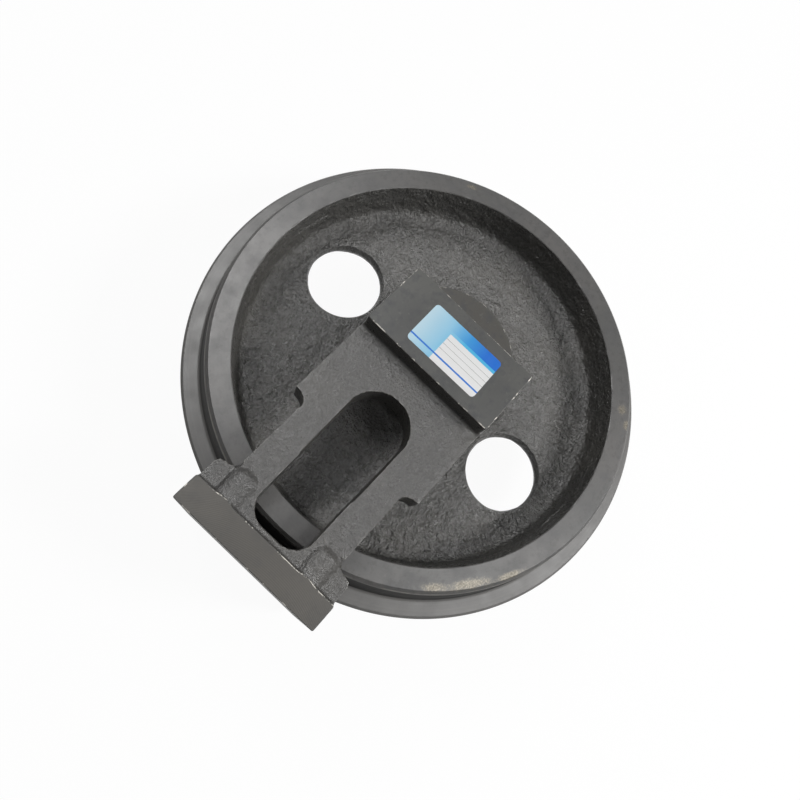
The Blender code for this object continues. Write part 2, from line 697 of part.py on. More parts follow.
def make_lock(side):
    """Pin that crosses the shaft's side groove, and the socket plug that holds it in."""
    tag = "upper" if side > 0 else "lower"
    edge = math.sqrt(SHAFT_BOSS_RADIUS ** 2 - LOCK_PIN_OFFSET ** 2)
    plug_start = -edge + LOCK_PLUG_SINK
    plug_end = plug_start + LOCK_PLUG_LENGTH
    pin_start = plug_end + 2 * FIT
    pin_profile = [
        (0.0, LOCK_PIN_END),
        (LOCK_PIN_RADIUS - 0.001, LOCK_PIN_END),
        (LOCK_PIN_RADIUS, LOCK_PIN_END - 0.001),
        (LOCK_PIN_RADIUS, pin_start + 0.001),
        (LOCK_PIN_RADIUS - 0.001, pin_start),
        (0.0, pin_start),
    ]
    place = (0.0, LOCK_PIN_OFFSET, side * LOCK_PIN_HEIGHT)
    pin = turned("lock_pin_" + tag, pin_profile, PIN_STEPS, PARTS, GROUND_STEEL, closed=False)
    pin.rotation_euler = (0.0, math.pi / 2, 0.0)
    pin.location = place
    smooth_round_faces(pin)

    plug_profile = [
        (0.0, LOCK_PLUG_LENGTH / 2),
        (LOCK_PLUG_RADIUS - 0.0008, LOCK_PLUG_LENGTH / 2),
        (LOCK_PLUG_RADIUS, LOCK_PLUG_LENGTH / 2 - 0.0008),
        (LOCK_PLUG_RADIUS, -LOCK_PLUG_LENGTH / 2 + 0.0008),
        (LOCK_PLUG_RADIUS - 0.0008, -LOCK_PLUG_LENGTH / 2),
        (0.0, -LOCK_PLUG_LENGTH / 2),
    ]
    plug = turned("lock_plug_" + tag, plug_profile, PIN_STEPS, PARTS, ZINC, closed=False)
    socket = hex_socket("lock_socket_cutter_" + tag, LOCK_PLUG_LENGTH / 2)
    for item in (plug, socket):
        item.rotation_euler = (0.0, -math.pi / 2, 0.0)
        item.location = ((plug_start + plug_end) / 2, LOCK_PIN_OFFSET, side * LOCK_PIN_HEIGHT)
    combine(plug, socket, "DIFFERENCE")
    smooth_round_faces(plug)


def make_oil_plug():
    """Socket-head plug that closes the filling hole in the shaft's lower end."""
    seat = -SHAFT_BOTTOM - WASHER_THICKNESS - 2 * FIT
    head = seat - OIL_PLUG_HEAD_THICKNESS
    shank = PLUG_THREAD_RADIUS - FIT
    profile = [
        (0.0, seat + OIL_PLUG_LENGTH),
        (shank - 0.001, seat + OIL_PLUG_LENGTH),
        (shank, seat + OIL_PLUG_LENGTH - 0.001),
        (shank, seat),
        (OIL_PLUG_HEAD_RADIUS, seat),
        (OIL_PLUG_HEAD_RADIUS, head + 0.0008),
        (OIL_PLUG_HEAD_RADIUS - 0.0008, head),
        (0.0, head),
    ]
    plug = turned("oil_plug", profile, SMALL_STEPS, PARTS, ZINC, closed=False)
    socket = hex_socket("oil_socket_cutter", 0.0)
    socket.rotation_euler = (math.pi, 0.0, 0.0)
    socket.location = (0.0, 0.0, head)
    combine(plug, socket, "DIFFERENCE")
    smooth_round_faces(plug)

    washer_profile = [
        (PLUG_THREAD_RADIUS, seat + FIT + WASHER_THICKNESS),
        (OIL_PLUG_HEAD_RADIUS, seat + FIT + WASHER_THICKNESS),
        (OIL_PLUG_HEAD_RADIUS, seat + FIT),
        (PLUG_THREAD_RADIUS, seat + FIT),
    ]
    washer = turned("oil_plug_washer", washer_profile, SMALL_STEPS, PARTS, COPPER)
    smooth_round_faces(washer)


make_wheel()
make_fork()
make_shaft()
for SIDE in (1, -1):
    make_bushing(SIDE)
    make_seals(SIDE)
    make_shaft_oring(SIDE)
    make_lock(SIDE)
make_oil_plug()
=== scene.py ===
"""Front idler of a tracked excavator, lying on one guide pad: the looks around its frame.

Sizes are in metres. Castings are drawn about the wheel's centre, with X towards the fork's
end wall and Z along the wheel's axis, and are then shifted to where the frame has them.
"""

import math

import bmesh
import bpy
import numpy as np
from mathutils import Matrix, Vector


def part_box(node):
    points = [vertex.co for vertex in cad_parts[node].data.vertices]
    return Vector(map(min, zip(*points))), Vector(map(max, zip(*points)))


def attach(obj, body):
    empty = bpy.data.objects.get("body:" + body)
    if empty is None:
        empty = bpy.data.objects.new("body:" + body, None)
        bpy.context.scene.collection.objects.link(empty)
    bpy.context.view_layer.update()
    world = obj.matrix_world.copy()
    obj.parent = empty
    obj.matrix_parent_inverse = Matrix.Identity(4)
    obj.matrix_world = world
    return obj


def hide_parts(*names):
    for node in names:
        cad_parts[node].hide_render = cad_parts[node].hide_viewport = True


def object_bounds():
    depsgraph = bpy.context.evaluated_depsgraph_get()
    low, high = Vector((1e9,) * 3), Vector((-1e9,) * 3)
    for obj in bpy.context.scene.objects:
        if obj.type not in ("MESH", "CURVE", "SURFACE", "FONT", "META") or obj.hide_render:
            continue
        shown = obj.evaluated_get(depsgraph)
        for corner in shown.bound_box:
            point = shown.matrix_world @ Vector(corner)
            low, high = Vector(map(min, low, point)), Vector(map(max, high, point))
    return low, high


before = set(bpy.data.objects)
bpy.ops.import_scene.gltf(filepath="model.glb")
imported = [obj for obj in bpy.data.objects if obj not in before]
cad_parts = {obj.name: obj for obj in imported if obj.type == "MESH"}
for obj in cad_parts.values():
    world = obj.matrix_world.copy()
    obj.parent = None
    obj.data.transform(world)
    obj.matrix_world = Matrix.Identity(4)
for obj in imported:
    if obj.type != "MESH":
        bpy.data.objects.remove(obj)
cad_low, cad_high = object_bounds()


# ----------------------------------------
# Camera. The viewer stands over the fork's end wall and looks down along the arms at the
# wheel. Place, turn and lens are solved from the rim's circles and the fork's edges.
def new_piece(name, data):
    piece = bpy.data.objects.new(name, data)
    bpy.context.collection.objects.link(piece)
    return piece


camera_data = bpy.data.cameras.new("viewpoint")
camera_data.sensor_width = 36.0
camera_data.lens = 28.716
camera_data.clip_start = 0.01
camera = new_piece("viewpoint", camera_data)
camera.location = (0.24246, -0.00257, 0.69015)
camera.rotation_euler = [math.radians(angle) for angle in (14.602, -13.984, 132.224)]
bpy.context.scene.camera = camera
bpy.context.scene.view_settings.view_transform = "Standard"


# ----------------------------------------
# Floor and light. A pale workshop floor, one large soft lamp beyond the wheel, a weak one
# on the other side, and two roof lights that only show as a sheen on satin paint.
SKY_LOW = 0.06
SKY_BAND = 0.42
SKY_BAND_HEIGHTS = (0.42, 0.62, 0.90, 0.985)
SKY_TOP_SHARE = 0.12
SKY_LEAN = (-1 / 2, -1 / 6)
SKY_LEAN_LOWEST = 0.15
FLOOR_GLOW = 0.95
FLOOR_REACH = 4.0
FLOOR_GAP = 0.0003
WHITE = (1.0, 1.0, 1.0, 1.0)
# Name, place, size, power, and whether the lamp only shows as a sheen.
LAMPS = (
    ("far_lamp", (-0.80, 1.70, 1.90), (0.6, 0.6), 54.0, False),
    ("side_lamp", (-0.50, -1.45, 1.70), (0.7, 0.7), 9.0, False),
    ("left_roof_light", (-0.36, -0.98, 2.10), (1.2, 0.9), 74.0, True),
    ("right_roof_light", (-0.20, 0.86, 2.10), (0.8, 0.7), 34.0, True),
)


def make(tree, kind, values=None, **settings):
    """Adds a node. A value may be a socket, which is linked, or a plain number or colour."""
    node = tree.nodes.new(kind)
    for key, value in settings.items():
        setattr(node, key, value)
    for key, value in (values or {}).items():
        socket = node.inputs[key]
        if isinstance(value, bpy.types.NodeSocket):
            tree.links.new(value, socket)
        else:
            socket.default_value = value
    return node


def calc(tree, operation, first, second=0.0, third=0.0, clamp=False):
    values = {0: first, 1: second, 2: third}
    node = make(tree, "ShaderNodeMath", values, operation=operation, use_clamp=clamp)
    return node.outputs[0]


def times(tree, first, second):
    return calc(tree, "MULTIPLY", first, second)


def plus(tree, first, second):
    return calc(tree, "ADD", first, second)


def seen_ray(tree):
    """1 for rays that look at the backdrop, straight or by way of gloss or glass."""
    path = make(tree, "ShaderNodeLightPath").outputs
    seen = calc(tree, "MAXIMUM", path["Is Camera Ray"], path["Is Glossy Ray"])
    return calc(tree, "MAXIMUM", seen, path["Is Transmission Ray"])


def fade(tree, value, low, high, to_low=0.0, to_high=1.0):
    node = make(tree, "ShaderNodeMapRange", {"Value": value, "From Min": low, "From Max": high,
                                             "To Min": to_low, "To Max": to_high})
    return node.outputs[0]


def split(tree, place):
    return make(tree, "ShaderNodeSeparateXYZ", {0: place}).outputs


def sky_strength(tree):
    """Light by direction: a band round the sky that is brighter on the far side."""
    towards = make(tree, "ShaderNodeTexCoord").outputs["Generated"]
    part = split(tree, towards)
    start, full, last, end = SKY_BAND_HEIGHTS
    band = times(tree, fade(tree, part[2], start, full),
                 fade(tree, part[2], last, end, 1.0, SKY_TOP_SHARE))
    lean = plus(tree, times(tree, part[0], SKY_LEAN[0]), times(tree, part[1], SKY_LEAN[1]))
    lean = calc(tree, "MAXIMUM", plus(tree, lean, 1.0), SKY_LEAN_LOWEST)
    return plus(tree, times(tree, times(tree, band, lean), SKY_BAND), SKY_LOW)


world = bpy.data.worlds.new("white_sky")
world.use_nodes = True
sky = world.node_tree
sky.nodes.clear()
sky_light = make(sky, "ShaderNodeBackground", {"Color": WHITE, "Strength": sky_strength(sky)})
sky_white = make(sky, "ShaderNodeBackground", {"Color": WHITE, "Strength": 1.0})
sky_mix = make(sky, "ShaderNodeMixShader",
               {0: seen_ray(sky), 1: sky_light.outputs[0], 2: sky_white.outputs[0]})
make(sky, "ShaderNodeOutputWorld", {"Surface": sky_mix.outputs[0]})
bpy.context.scene.world = world

floor_mesh = bpy.data.meshes.new("pale_floor")
floor_mesh.from_pydata([(x * FLOOR_REACH, y * FLOOR_REACH, cad_low.z - FLOOR_GAP)
                        for x, y in ((-1, -1), (1, -1), (1, 1), (-1, 1))], [], [(0, 1, 2, 3)])
floor = new_piece("pale_floor", floor_mesh)
floor_material = bpy.data.materials.new("pale_floor")
floor_material.use_nodes = True
ground = floor_material.node_tree
ground.nodes.clear()
ground_matte = make(ground, "ShaderNodeBsdfDiffuse", {"Color": (0.86, 0.86, 0.86, 1.0)})
ground_glow = make(ground, "ShaderNodeEmission", {"Color": WHITE, "Strength": 1.0})
ground_mix = make(ground, "ShaderNodeMixShader",
                  {0: times(ground, seen_ray(ground), FLOOR_GLOW),
                   1: ground_matte.outputs[0], 2: ground_glow.outputs[0]})
make(ground, "ShaderNodeOutputMaterial", {"Surface": ground_mix.outputs[0]})
floor_mesh.materials.append(floor_material)

for lamp_name, lamp_place, lamp_size, lamp_power, sheen_only in LAMPS:
    lamp_data = bpy.data.lights.new(lamp_name, "AREA")
    lamp_data.shape = "RECTANGLE"
    lamp_data.size, lamp_data.size_y = lamp_size
    lamp_data.energy = lamp_power
    lamp = new_piece(lamp_name, lamp_data)
    lamp.location = lamp_place
    lamp.rotation_euler = (-Vector(lamp_place)).to_track_quat("-Z", "Y").to_euler()
    lamp.visible_diffuse = not sheen_only


# ----------------------------------------
# Wheel. One iron casting: hub, web and rim are sand-cast and painted as they come from
# the mould; rim faces, treads, flange and bores are turned on a lathe before painting.
WHEEL_HALF_WIDTH = 0.0465
FLANGE_HALF_WIDTH = 0.014
FLANGE_RADIUS = 0.230
TREAD_RADIUS = 0.2128
RIM_EDGE_RADIUS = 0.2083
RIM_INNER_RADIUS = 0.1854
RIM_DRAFT = 0.006
WEB_HALF_THICKNESS = 0.007
WEB_RIDGE_RADIUS = 0.151
WEB_RUN_OUT = 0.0038
HUB_RADIUS = 0.050
HUB_HALF_LENGTH = 0.0365
HUB_BORE_RADIUS = 0.027
SEAL_BORE_RADIUS = 0.038
SEAL_BORE_DEPTH = 0.011
OIL_CHAMBER_RADIUS = 0.030
OIL_CHAMBER_HALF_WIDTH = 0.004
WEB_HOLE_RADIUS = 0.0367
WEB_HOLE_ORBIT = 0.1238
WEB_HOLE_ANGLE = math.radians(82.9)
WEB_HOLE_FLARE = 0.0025
HUB_ROOT_SPREAD = 0.005
HUB_FILLET = 0.012
WEB_FILLET = 0.020
RIM_CHAMFER = 0.0030
FLANGE_CHAMFER = 0.0022
FLANGE_FILLET = 0.0032
EDGE_ROUND = 0.0006
CORE_HALF_LENGTH = 0.030
CORE_SPREAD = 0.023
WHEEL_STEPS = 376
CORE_STEPS = 88
CORE_SPACING = 0.002
SAND_SPACING = 0.0025
SUPPORT_REACH = 0.0007
WELD_DISTANCE = 0.000001
WHEEL_SHARP_ANGLE = math.radians(32.0)

wheel_low, wheel_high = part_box("wheel")
to_frame = Matrix.Translation((wheel_low + wheel_high) / 2)
axis_x = to_frame.translation.x
axis_z = to_frame.translation.z


def rounded_corner(before, corner, after, radius, spacing):
    """Points of an arc that rounds one corner of an outline."""
    into = Vector(before[:2]) - Vector(corner[:2])
    out = Vector(after[:2]) - Vector(corner[:2])
    half = into.angle(out) / 2
    reach = min(radius / math.tan(half), 0.499 * into.length, 0.499 * out.length)
    radius = reach * math.tan(half)
    into.normalize()
    out.normalize()
    centre = Vector(corner[:2]) + (into + out).normalized() * radius / math.sin(half)
    start = Vector(corner[:2]) + into * reach - centre
    end = Vector(corner[:2]) + out * reach - centre
    sweep = math.atan2(start.x * end.y - start.y * end.x, start.dot(end))
    steps = max(3, round(abs(sweep) * radius / spacing))
    points = []
    for step in range(steps + 1):
        angle = sweep * step / steps
        cos, sin = math.cos(angle), math.sin(angle)
        points.append((centre.x + start.x * cos - start.y * sin,
                       centre.y + start.x * sin + start.y * cos))
    return points


def outline(corners, spacing, support=0.0):
    """A closed outline as (x, y, rough). A corner is (x, y, radius, rough to the next one).

    With support, a smooth stretch gets a point near each end, so that it shades flat.
    """
    points = []
    count = len(corners)
    for index, corner in enumerate(corners):
        before = corners[index - 1]
        after = corners[(index + 1) % count]
        rough = min(before[3], corner[3])
        if corner[2] > 0.0:
            points.extend((x, y, rough) for x, y in
                          rounded_corner(before, corner, after, corner[2], spacing))
        else:
            points.append((corner[0], corner[1], rough))
        here = Vector(points[-1][:2])
        ahead = Vector(after[:2])
        if after[2] > 0.0:
            beyond = corners[(index + 2) % count]
            ahead = Vector(rounded_corner(corner, after, beyond, after[2], spacing)[0])
        length = (ahead - here).length
        if corner[3] > 0.0:
            steps = round(length / spacing)
            shares = [step / steps for step in range(1, steps)]
        elif support and length > 5 * support:
            shares = [support / length, 1.0 - support / length]
        else:
            shares = []
        points.extend((*here.lerp(ahead, share), corner[3]) for share in shares)
    return points


def new_tree(name, inputs):
    """An empty Geometry Nodes tree with a geometry input and the named inputs after it."""
    tree = bpy.data.node_groups.new(name, "GeometryNodeTree")
    tree.interface.new_socket("Geometry", in_out="INPUT", socket_type="NodeSocketGeometry")
    for label, kind, default in inputs:
        socket = tree.interface.new_socket(label, in_out="INPUT",
                                           socket_type="NodeSocket" + kind)
        if default is not None:
            socket.default_value = default
    tree.interface.new_socket("Geometry", in_out="OUTPUT", socket_type="NodeSocketGeometry")
    return tree, make(tree, "NodeGroupInput").outputs


def end_tree(tree, geometry, material):
    """Ends a tree in real, not instanced, geometry with its material set."""
    real = make(tree, "GeometryNodeRealizeInstances", {0: geometry}).outputs[0]
    shown = make(tree, "GeometryNodeSetMaterial", {"Geometry": real, "Material": material})
    make(tree, "NodeGroupOutput", {0: shown.outputs[0]})


def lathe_tree():
    """Turns a closed profile, drawn as (radius, 0, height), into a ring about Z."""
    tree, given = new_tree("turned_ring", (
        ("Steps", "Int", 64),
        ("Finish", "Material", None),
    ))
    size = make(tree, "GeometryNodeAttributeDomainSize", {0: given["Geometry"]})
    count = size.outputs["Point Count"]
    columns = plus(tree, given["Steps"], 1.0)
    grid = make(tree, "GeometryNodeMeshGrid",
                {"Vertices X": plus(tree, count, 1.0), "Vertices Y": columns})
    index = make(tree, "GeometryNodeInputIndex").outputs[0]
    row = calc(tree, "FLOOR", calc(tree, "DIVIDE", plus(tree, index, 0.5), columns))
    column = calc(tree, "SUBTRACT", index, times(tree, row, columns))
    source = calc(tree, "MODULO", plus(tree, row, 0.25), count)

    def sampled(value, kind):
        """The value that the profile has at the point each grid point comes from."""
        node = make(tree, "GeometryNodeSampleIndex",
                    {"Geometry": given["Geometry"], "Index": source},
                    data_type=kind, domain="POINT")
        tree.links.new(value, node.inputs["Value"])
        return node.outputs[0]

    position = make(tree, "GeometryNodeInputPosition").outputs[0]
    named = make(tree, "GeometryNodeInputNamedAttribute", {"Name": "rough"}, data_type="FLOAT")
    rough = sampled(named.outputs[0], "FLOAT")
    part = split(tree, sampled(position, "FLOAT_VECTOR"))
    angle = calc(tree, "DIVIDE", times(tree, column, 2 * math.pi), given["Steps"])
    around = make(tree, "ShaderNodeCombineXYZ", {
        0: times(tree, part[0], calc(tree, "COSINE", angle)),
        1: times(tree, part[0], calc(tree, "SINE", angle)),
        2: part[2],
    })
    placed = make(tree, "GeometryNodeSetPosition",
                  {"Geometry": grid.outputs[0], "Position": around.outputs[0]})
    marked = make(tree, "GeometryNodeStoreNamedAttribute",
                  {"Geometry": placed.outputs[0], "Name": "rough"},
                  data_type="FLOAT", domain="POINT")
    tree.links.new(rough, marked.inputs["Value"])
    welded = make(tree, "GeometryNodeMergeByDistance",
                  {"Geometry": marked.outputs[0], "Distance": WELD_DISTANCE})
    end_tree(tree, welded.outputs[0], given["Finish"])
    return tree


def sand_tree():
    """Pushes cast faces in and out like the skin that a sand mould leaves."""
    tree, given = new_tree("sand_mould_skin", (
        ("Lump size", "Float", 0.011),
        ("Lump depth", "Float", 0.0005),
        ("Grain size", "Float", 0.004),
        ("Grain depth", "Float", 0.0003),
        ("Everywhere", "Float", 0.0),
        ("Seed", "Float", 0.0),
        ("Finish", "Material", None),
    ))
    named = make(tree, "GeometryNodeInputNamedAttribute", {"Name": "rough"}, data_type="FLOAT")
    rough = calc(tree, "MAXIMUM", named.outputs[0], given["Everywhere"])
    push = None
    for size, depth in (("Lump size", "Lump depth"), ("Grain size", "Grain depth")):
        cloud = make(tree, "ShaderNodeTexNoise",
                     {"W": given["Seed"], "Scale": calc(tree, "DIVIDE", 1.0, given[size]),
                      "Detail": 2.0, "Roughness": 0.55}, noise_dimensions="4D")
        centred = calc(tree, "SUBTRACT", cloud.outputs[0], 0.5)
        wave = times(tree, centred, times(tree, given[depth], 2.0))
        push = wave if push is None else plus(tree, push, wave)
    normal = make(tree, "GeometryNodeInputNormal").outputs[0]
    offset = make(tree, "ShaderNodeVectorMath",
                  {0: normal, "Scale": times(tree, push, rough)}, operation="SCALE")
    moved = make(tree, "GeometryNodeSetPosition",
                 {"Geometry": given["Geometry"], "Offset": offset.outputs[0]})
    end_tree(tree, moved.outputs[0], given["Finish"])
    return tree


LATHE = lathe_tree()
SAND = sand_tree()


def grow(item, tree, **values):
    """Adds a Geometry Nodes modifier and sets its inputs, found by their labels."""
    modifier = item.modifiers.new(tree.name, "NODES")
    modifier.node_group = tree
    for socket in tree.interface.items_tree:
        label = socket.name.replace(" ", "_").lower()
        if socket.in_out == "INPUT" and label in values:
            modifier[socket.identifier] = values[label]


def profile_piece(name, points):
    """A profile of (radius, height, rough) points as loose vertices, ready for the lathe."""
    mesh = bpy.data.meshes.new(name)
    mesh.from_pydata([(point[0], 0.0, point[1]) for point in points], [], [])
    rough = mesh.attributes.new("rough", "FLOAT", "POINT")
    rough.data.foreach_set("value", [point[2] for point in points])
    return new_piece(name, mesh)


def finished_mesh(piece):
    """The piece's mesh with its modifiers worked in, and nothing live left on it."""
    graph = bpy.context.evaluated_depsgraph_get()
    mesh = bpy.data.meshes.new_from_object(piece.evaluated_get(graph))
    piece.modifiers.clear()
    piece.data = mesh
    return mesh


def outward(mesh):
    form = bmesh.new()
    form.from_mesh(mesh)
    if form.calc_volume(signed=True) < 0.0:
        bmesh.ops.reverse_faces(form, faces=form.faces)
    form.to_mesh(mesh)
    form.free()


def cut(piece, tool, operation="DIFFERENCE"):
    modifier = piece.modifiers.new(operation + "_" + tool.name, "BOOLEAN")
    modifier.operation = operation
    modifier.solver = "MANIFOLD"
    modifier.object = tool


def drop(*items):
    for item in items:
        bpy.data.objects.remove(item, do_unlink=True)


def face_middles(mesh):
    middles = np.empty(len(mesh.polygons) * 3)
    mesh.polygons.foreach_get("center", middles)
    return middles.reshape(-1, 3)


def mark_edges(mesh):
    """Stores how far each point stands proud of its neighbours, as a share of their spacing."""
    count = len(mesh.vertices)
    places = np.empty(count * 3)
    normals = np.empty(count * 3)
    ends = np.empty(len(mesh.edges) * 2, np.int64)
    mesh.vertices.foreach_get("co", places)
    mesh.vertices.foreach_get("normal", normals)
    mesh.edges.foreach_get("vertices", ends)
    places = places.reshape(count, 3)
    normals = normals.reshape(count, 3)
    first, second = ends.reshape(-1, 2).T
    step = places[second] - places[first]
    length = np.linalg.norm(step, axis=1) + 1e-9
    degree = np.bincount(np.concatenate((first, second)), minlength=count) + 1e-9
    proud = -(np.bincount(first, (step * normals[first]).sum(1) / length, count)
              - np.bincount(second, (step * normals[second]).sum(1) / length, count)) / degree
    for _ in range(2):
        around = (np.bincount(first, proud[second], count)
                  + np.bincount(second, proud[first], count)) / degree
        proud = 0.5 * proud + 0.5 * around
    proudness = mesh.attributes.new("proud", "FLOAT", "POINT")
    proudness.data.foreach_set("value", proud.astype(np.float32))


def object_place(tree):
    """Object coordinates, counted from the wheel's centre."""
    place = make(tree, "ShaderNodeTexCoord").outputs["Object"]
    return make(tree, "ShaderNodeMapping",
                {"Vector": place, "Location": (-axis_x, 0.0, -axis_z)}).outputs[0]


def cloud(tree, place, size, detail=3.0, roughness=0.5):
    """Noise whose blotches are about the given size across."""
    values = {"Vector": place, "Scale": 1.0 / size, "Detail": detail, "Roughness": roughness}
    return make(tree, "ShaderNodeTexNoise", values).outputs[0]


def blend_colour(tree, share, first, second):
    node = make(tree, "ShaderNodeMix", {0: share}, data_type="RGBA")
    for socket, value in ((node.inputs[6], first), (node.inputs[7], second)):
        if isinstance(value, bpy.types.NodeSocket):
            tree.links.new(value, socket)
        else:
            socket.default_value = (*value, 1.0)
    return node.outputs[2]


def bump(tree, height, distance, below=None):
    values = {"Height": height, "Distance": distance, "Strength": 1.0}
    if below is not None:
        values["Normal"] = below
    return make(tree, "ShaderNodeBump", values).outputs[0]


def start_finish(name, specular=0.24):
    material = bpy.data.materials.new(name)
    material.use_nodes = True
    tree = material.node_tree
    shader = tree.nodes["Principled BSDF"]
    shader.inputs["Specular IOR Level"].default_value = specular
    return material, tree, shader, object_place(tree)


def join_finish(tree, shader, colour, roughness, normal=None, metallic=None):
    tree.links.new(colour, shader.inputs["Base Color"])
    tree.links.new(roughness, shader.inputs["Roughness"])
    if normal is not None:
        tree.links.new(normal, shader.inputs["Normal"])
    if metallic is not None:
        tree.links.new(metallic, shader.inputs["Metallic"])


def stained(tree, tone, share, colour, limit=None):
    """The tone with a stain of another colour laid over it, where its share says."""
    return blend_colour(tree, share if limit is None else times(tree, share, limit), tone, colour)


# Density round the wheel and along its radius, and the radii where the marks come and go.
RUN_DENSITY = (27.0, 85.0)
RUN_RADII = (0.125, 0.165, 0.172, 0.180)
RUN_TONE = (0.03, 0.03, 0.029)


def run_marks(tree, place):
    """Noise drawn out along the radius, as iron and mould wash ran in the wheel's dish."""
    aim = make(tree, "ShaderNodeVectorMath", {0: place}, operation="NORMALIZE").outputs[0]
    turn = make(tree, "ShaderNodeVectorMath", {0: aim, "Scale": RUN_DENSITY[0]},
                operation="SCALE").outputs[0]
    reach = make(tree, "ShaderNodeVectorMath", {0: place}, operation="LENGTH").outputs["Value"]
    part = split(tree, turn)
    drawn = make(tree, "ShaderNodeCombineXYZ", {0: part[0], 1: part[1],
                                                2: times(tree, reach, RUN_DENSITY[1])})
    start, full, last, end = RUN_RADII
    share = times(tree, fade(tree, reach, start, full), fade(tree, reach, last, end, 1.0, 0.15))
    return cloud(tree, drawn.outputs[0], 1.0, 4.0, 0.6), share


PAINTED_GLINT_TONE = (0.34, 0.33, 0.30)
WORN_EDGE_AND_HIGHLIGHT_TONE = (0.30, 0.29, 0.26)
HOLLOW_SHADE_TONE = (0.02, 0.02, 0.02)


def painted_sand_casting(name, tone, dust, grain, depth, gloss, specular, runs=0.0):
    """Black primer over a sand-cast skin, dusty on the tops. Hollows and creases get painted
    shade, proud edges are lighter from rubbed paint and a painted highlight, and bright specks
    are painted glints.
    """
    material, tree, shader, place = start_finish(name, specular)
    broad = cloud(tree, place, 0.060, 3.0)
    lumps = cloud(tree, place, grain * 3.2, 3.0, 0.6)
    pebbles = cloud(tree, place, grain, 3.0, 0.6)
    fine = cloud(tree, place, grain * 0.35, 2.0)
    low = [part * 0.70 for part in tone]
    colour = blend_colour(tree, fade(tree, pebbles, 0.40, 0.64), low, tone)
    colour = stained(tree, colour, fade(tree, broad, 0.45, 0.72, 0.0, 0.55), dust)
    # Bright specks where the fine grain peaks on the lumps: painted glints.
    painted_glints = times(tree, fade(tree, fine, 0.64, 0.72), fade(tree, lumps, 0.45, 0.6))
    colour = stained(tree, colour, painted_glints, PAINTED_GLINT_TONE, 0.40)
    proud = make(tree, "ShaderNodeAttribute", attribute_name="proud").outputs["Fac"]
    # Lighter along proud edges: partly rubbed paint, partly a painted highlight on rounded edges.
    worn_and_highlit_edges = times(tree, fade(tree, proud, 0.08, 0.26), fade(tree, lumps, 0.40, 0.60, 0.25, 1.0))
    colour = stained(tree, colour, worn_and_highlit_edges, WORN_EDGE_AND_HIGHLIGHT_TONE, 0.55)
    # Darker where the surface dips below its neighbours: painted shade in pits, fillets and
    # creases.
    colour = stained(tree, colour, fade(tree, proud, -0.06, -0.24), HOLLOW_SHADE_TONE, 0.70)
    roughness = fade(tree, lumps, 0.35, 0.65, gloss + 0.12, gloss - 0.08)
    normal = bump(tree, lumps, depth * 1.8)
    if runs > 0.0:
        drawn, share = run_marks(tree, place)
        colour = stained(tree, colour, fade(tree, drawn, 0.55, 0.35, 0.0, 0.25), RUN_TONE, share)
        normal = bump(tree, times(tree, drawn, share), runs, normal)
    normal = bump(tree, pebbles, depth, normal)
    normal = bump(tree, fine, depth * 0.25, normal)
    join_finish(tree, shader, colour, roughness, normal)
    return material


def ring_radius(tree, place):
    """Distance from the wheel's axis, and height along it."""
    part = split(tree, place)
    squares = plus(tree, times(tree, part[0], part[0]), times(tree, part[1], part[1]))
    return calc(tree, "SQRT", squares), part[2]


def tool_rings(tree, radius, height, density):
    """The fine rings that a lathe tool leaves round the axis."""
    rings = make(tree, "ShaderNodeCombineXYZ", {0: times(tree, radius, density),
                                                1: times(tree, height, density)}).outputs[0]
    return make(tree, "ShaderNodeTexNoise",
                {"Vector": rings, "Scale": 1.0, "Detail": 1.0}).outputs[0]


def rub_mark(tree, place, centre, length, width):
    """1 in the middle of a long mark that lies along the rim, and 0 outside it."""
    turn = math.atan2(centre[1], centre[0]) + math.pi / 2
    local = make(tree, "ShaderNodeMapping", {
        "Vector": place, "Location": centre, "Rotation": (0.0, 0.0, turn),
        "Scale": (length, width, width)}, vector_type="TEXTURE").outputs[0]
    reach = make(tree, "ShaderNodeVectorMath", {0: local}, operation="LENGTH")
    return fade(tree, reach.outputs["Value"], 0.0, 1.0, 1.0, 0.0)


# Place of the middle, half length along the rim, and half width.
RUB_MARKS = (
    ((0.1275, 0.1560, WHEEL_HALF_WIDTH), 0.050, 0.0090),
    ((0.0975, 0.1780, WHEEL_HALF_WIDTH), 0.034, 0.0060),
    ((0.1520, 0.1330, WHEEL_HALF_WIDTH), 0.024, 0.0080),
    ((-0.097, 0.1784, WHEEL_HALF_WIDTH), 0.010, 0.0060),
    ((-0.106, 0.1660, WHEEL_HALF_WIDTH), 0.011, 0.0090),
    ((-0.173, -0.100, WHEEL_HALF_WIDTH), 0.013, 0.0060),
)
# Radius, half width and strength of thin light lines on the rim's chamfer and tread: painted
# highlights.
EDGE_HIGHLIGHT_LINES = (
    (RIM_EDGE_RADIUS - 0.0004, 0.0008, 0.9),
    (0.2108, 0.0002, 0.4),
)


PRIMER_TONES = ((0.078, 0.077, 0.074), (0.102, 0.098, 0.094))
FLANGE_SHEEN_TONE = (0.150, 0.146, 0.140)
STAIN_TONE = (0.058, 0.058, 0.059)
DARK_SMEAR_TONE = (0.046, 0.043, 0.041)
PALE_SMEAR_TONE = (0.135, 0.128, 0.12)
TOOL_RING_TONE = (0.03, 0.03, 0.03)
TREAD_SHADE_TONE = (0.012, 0.012, 0.012)
EDGE_HIGHLIGHT_TONE = (0.20, 0.19, 0.17)
WORN_TONES = ((0.075, 0.067, 0.053), (0.160, 0.146, 0.119))
STREAK_STRETCH = (0.35, 0.35, 1.0)


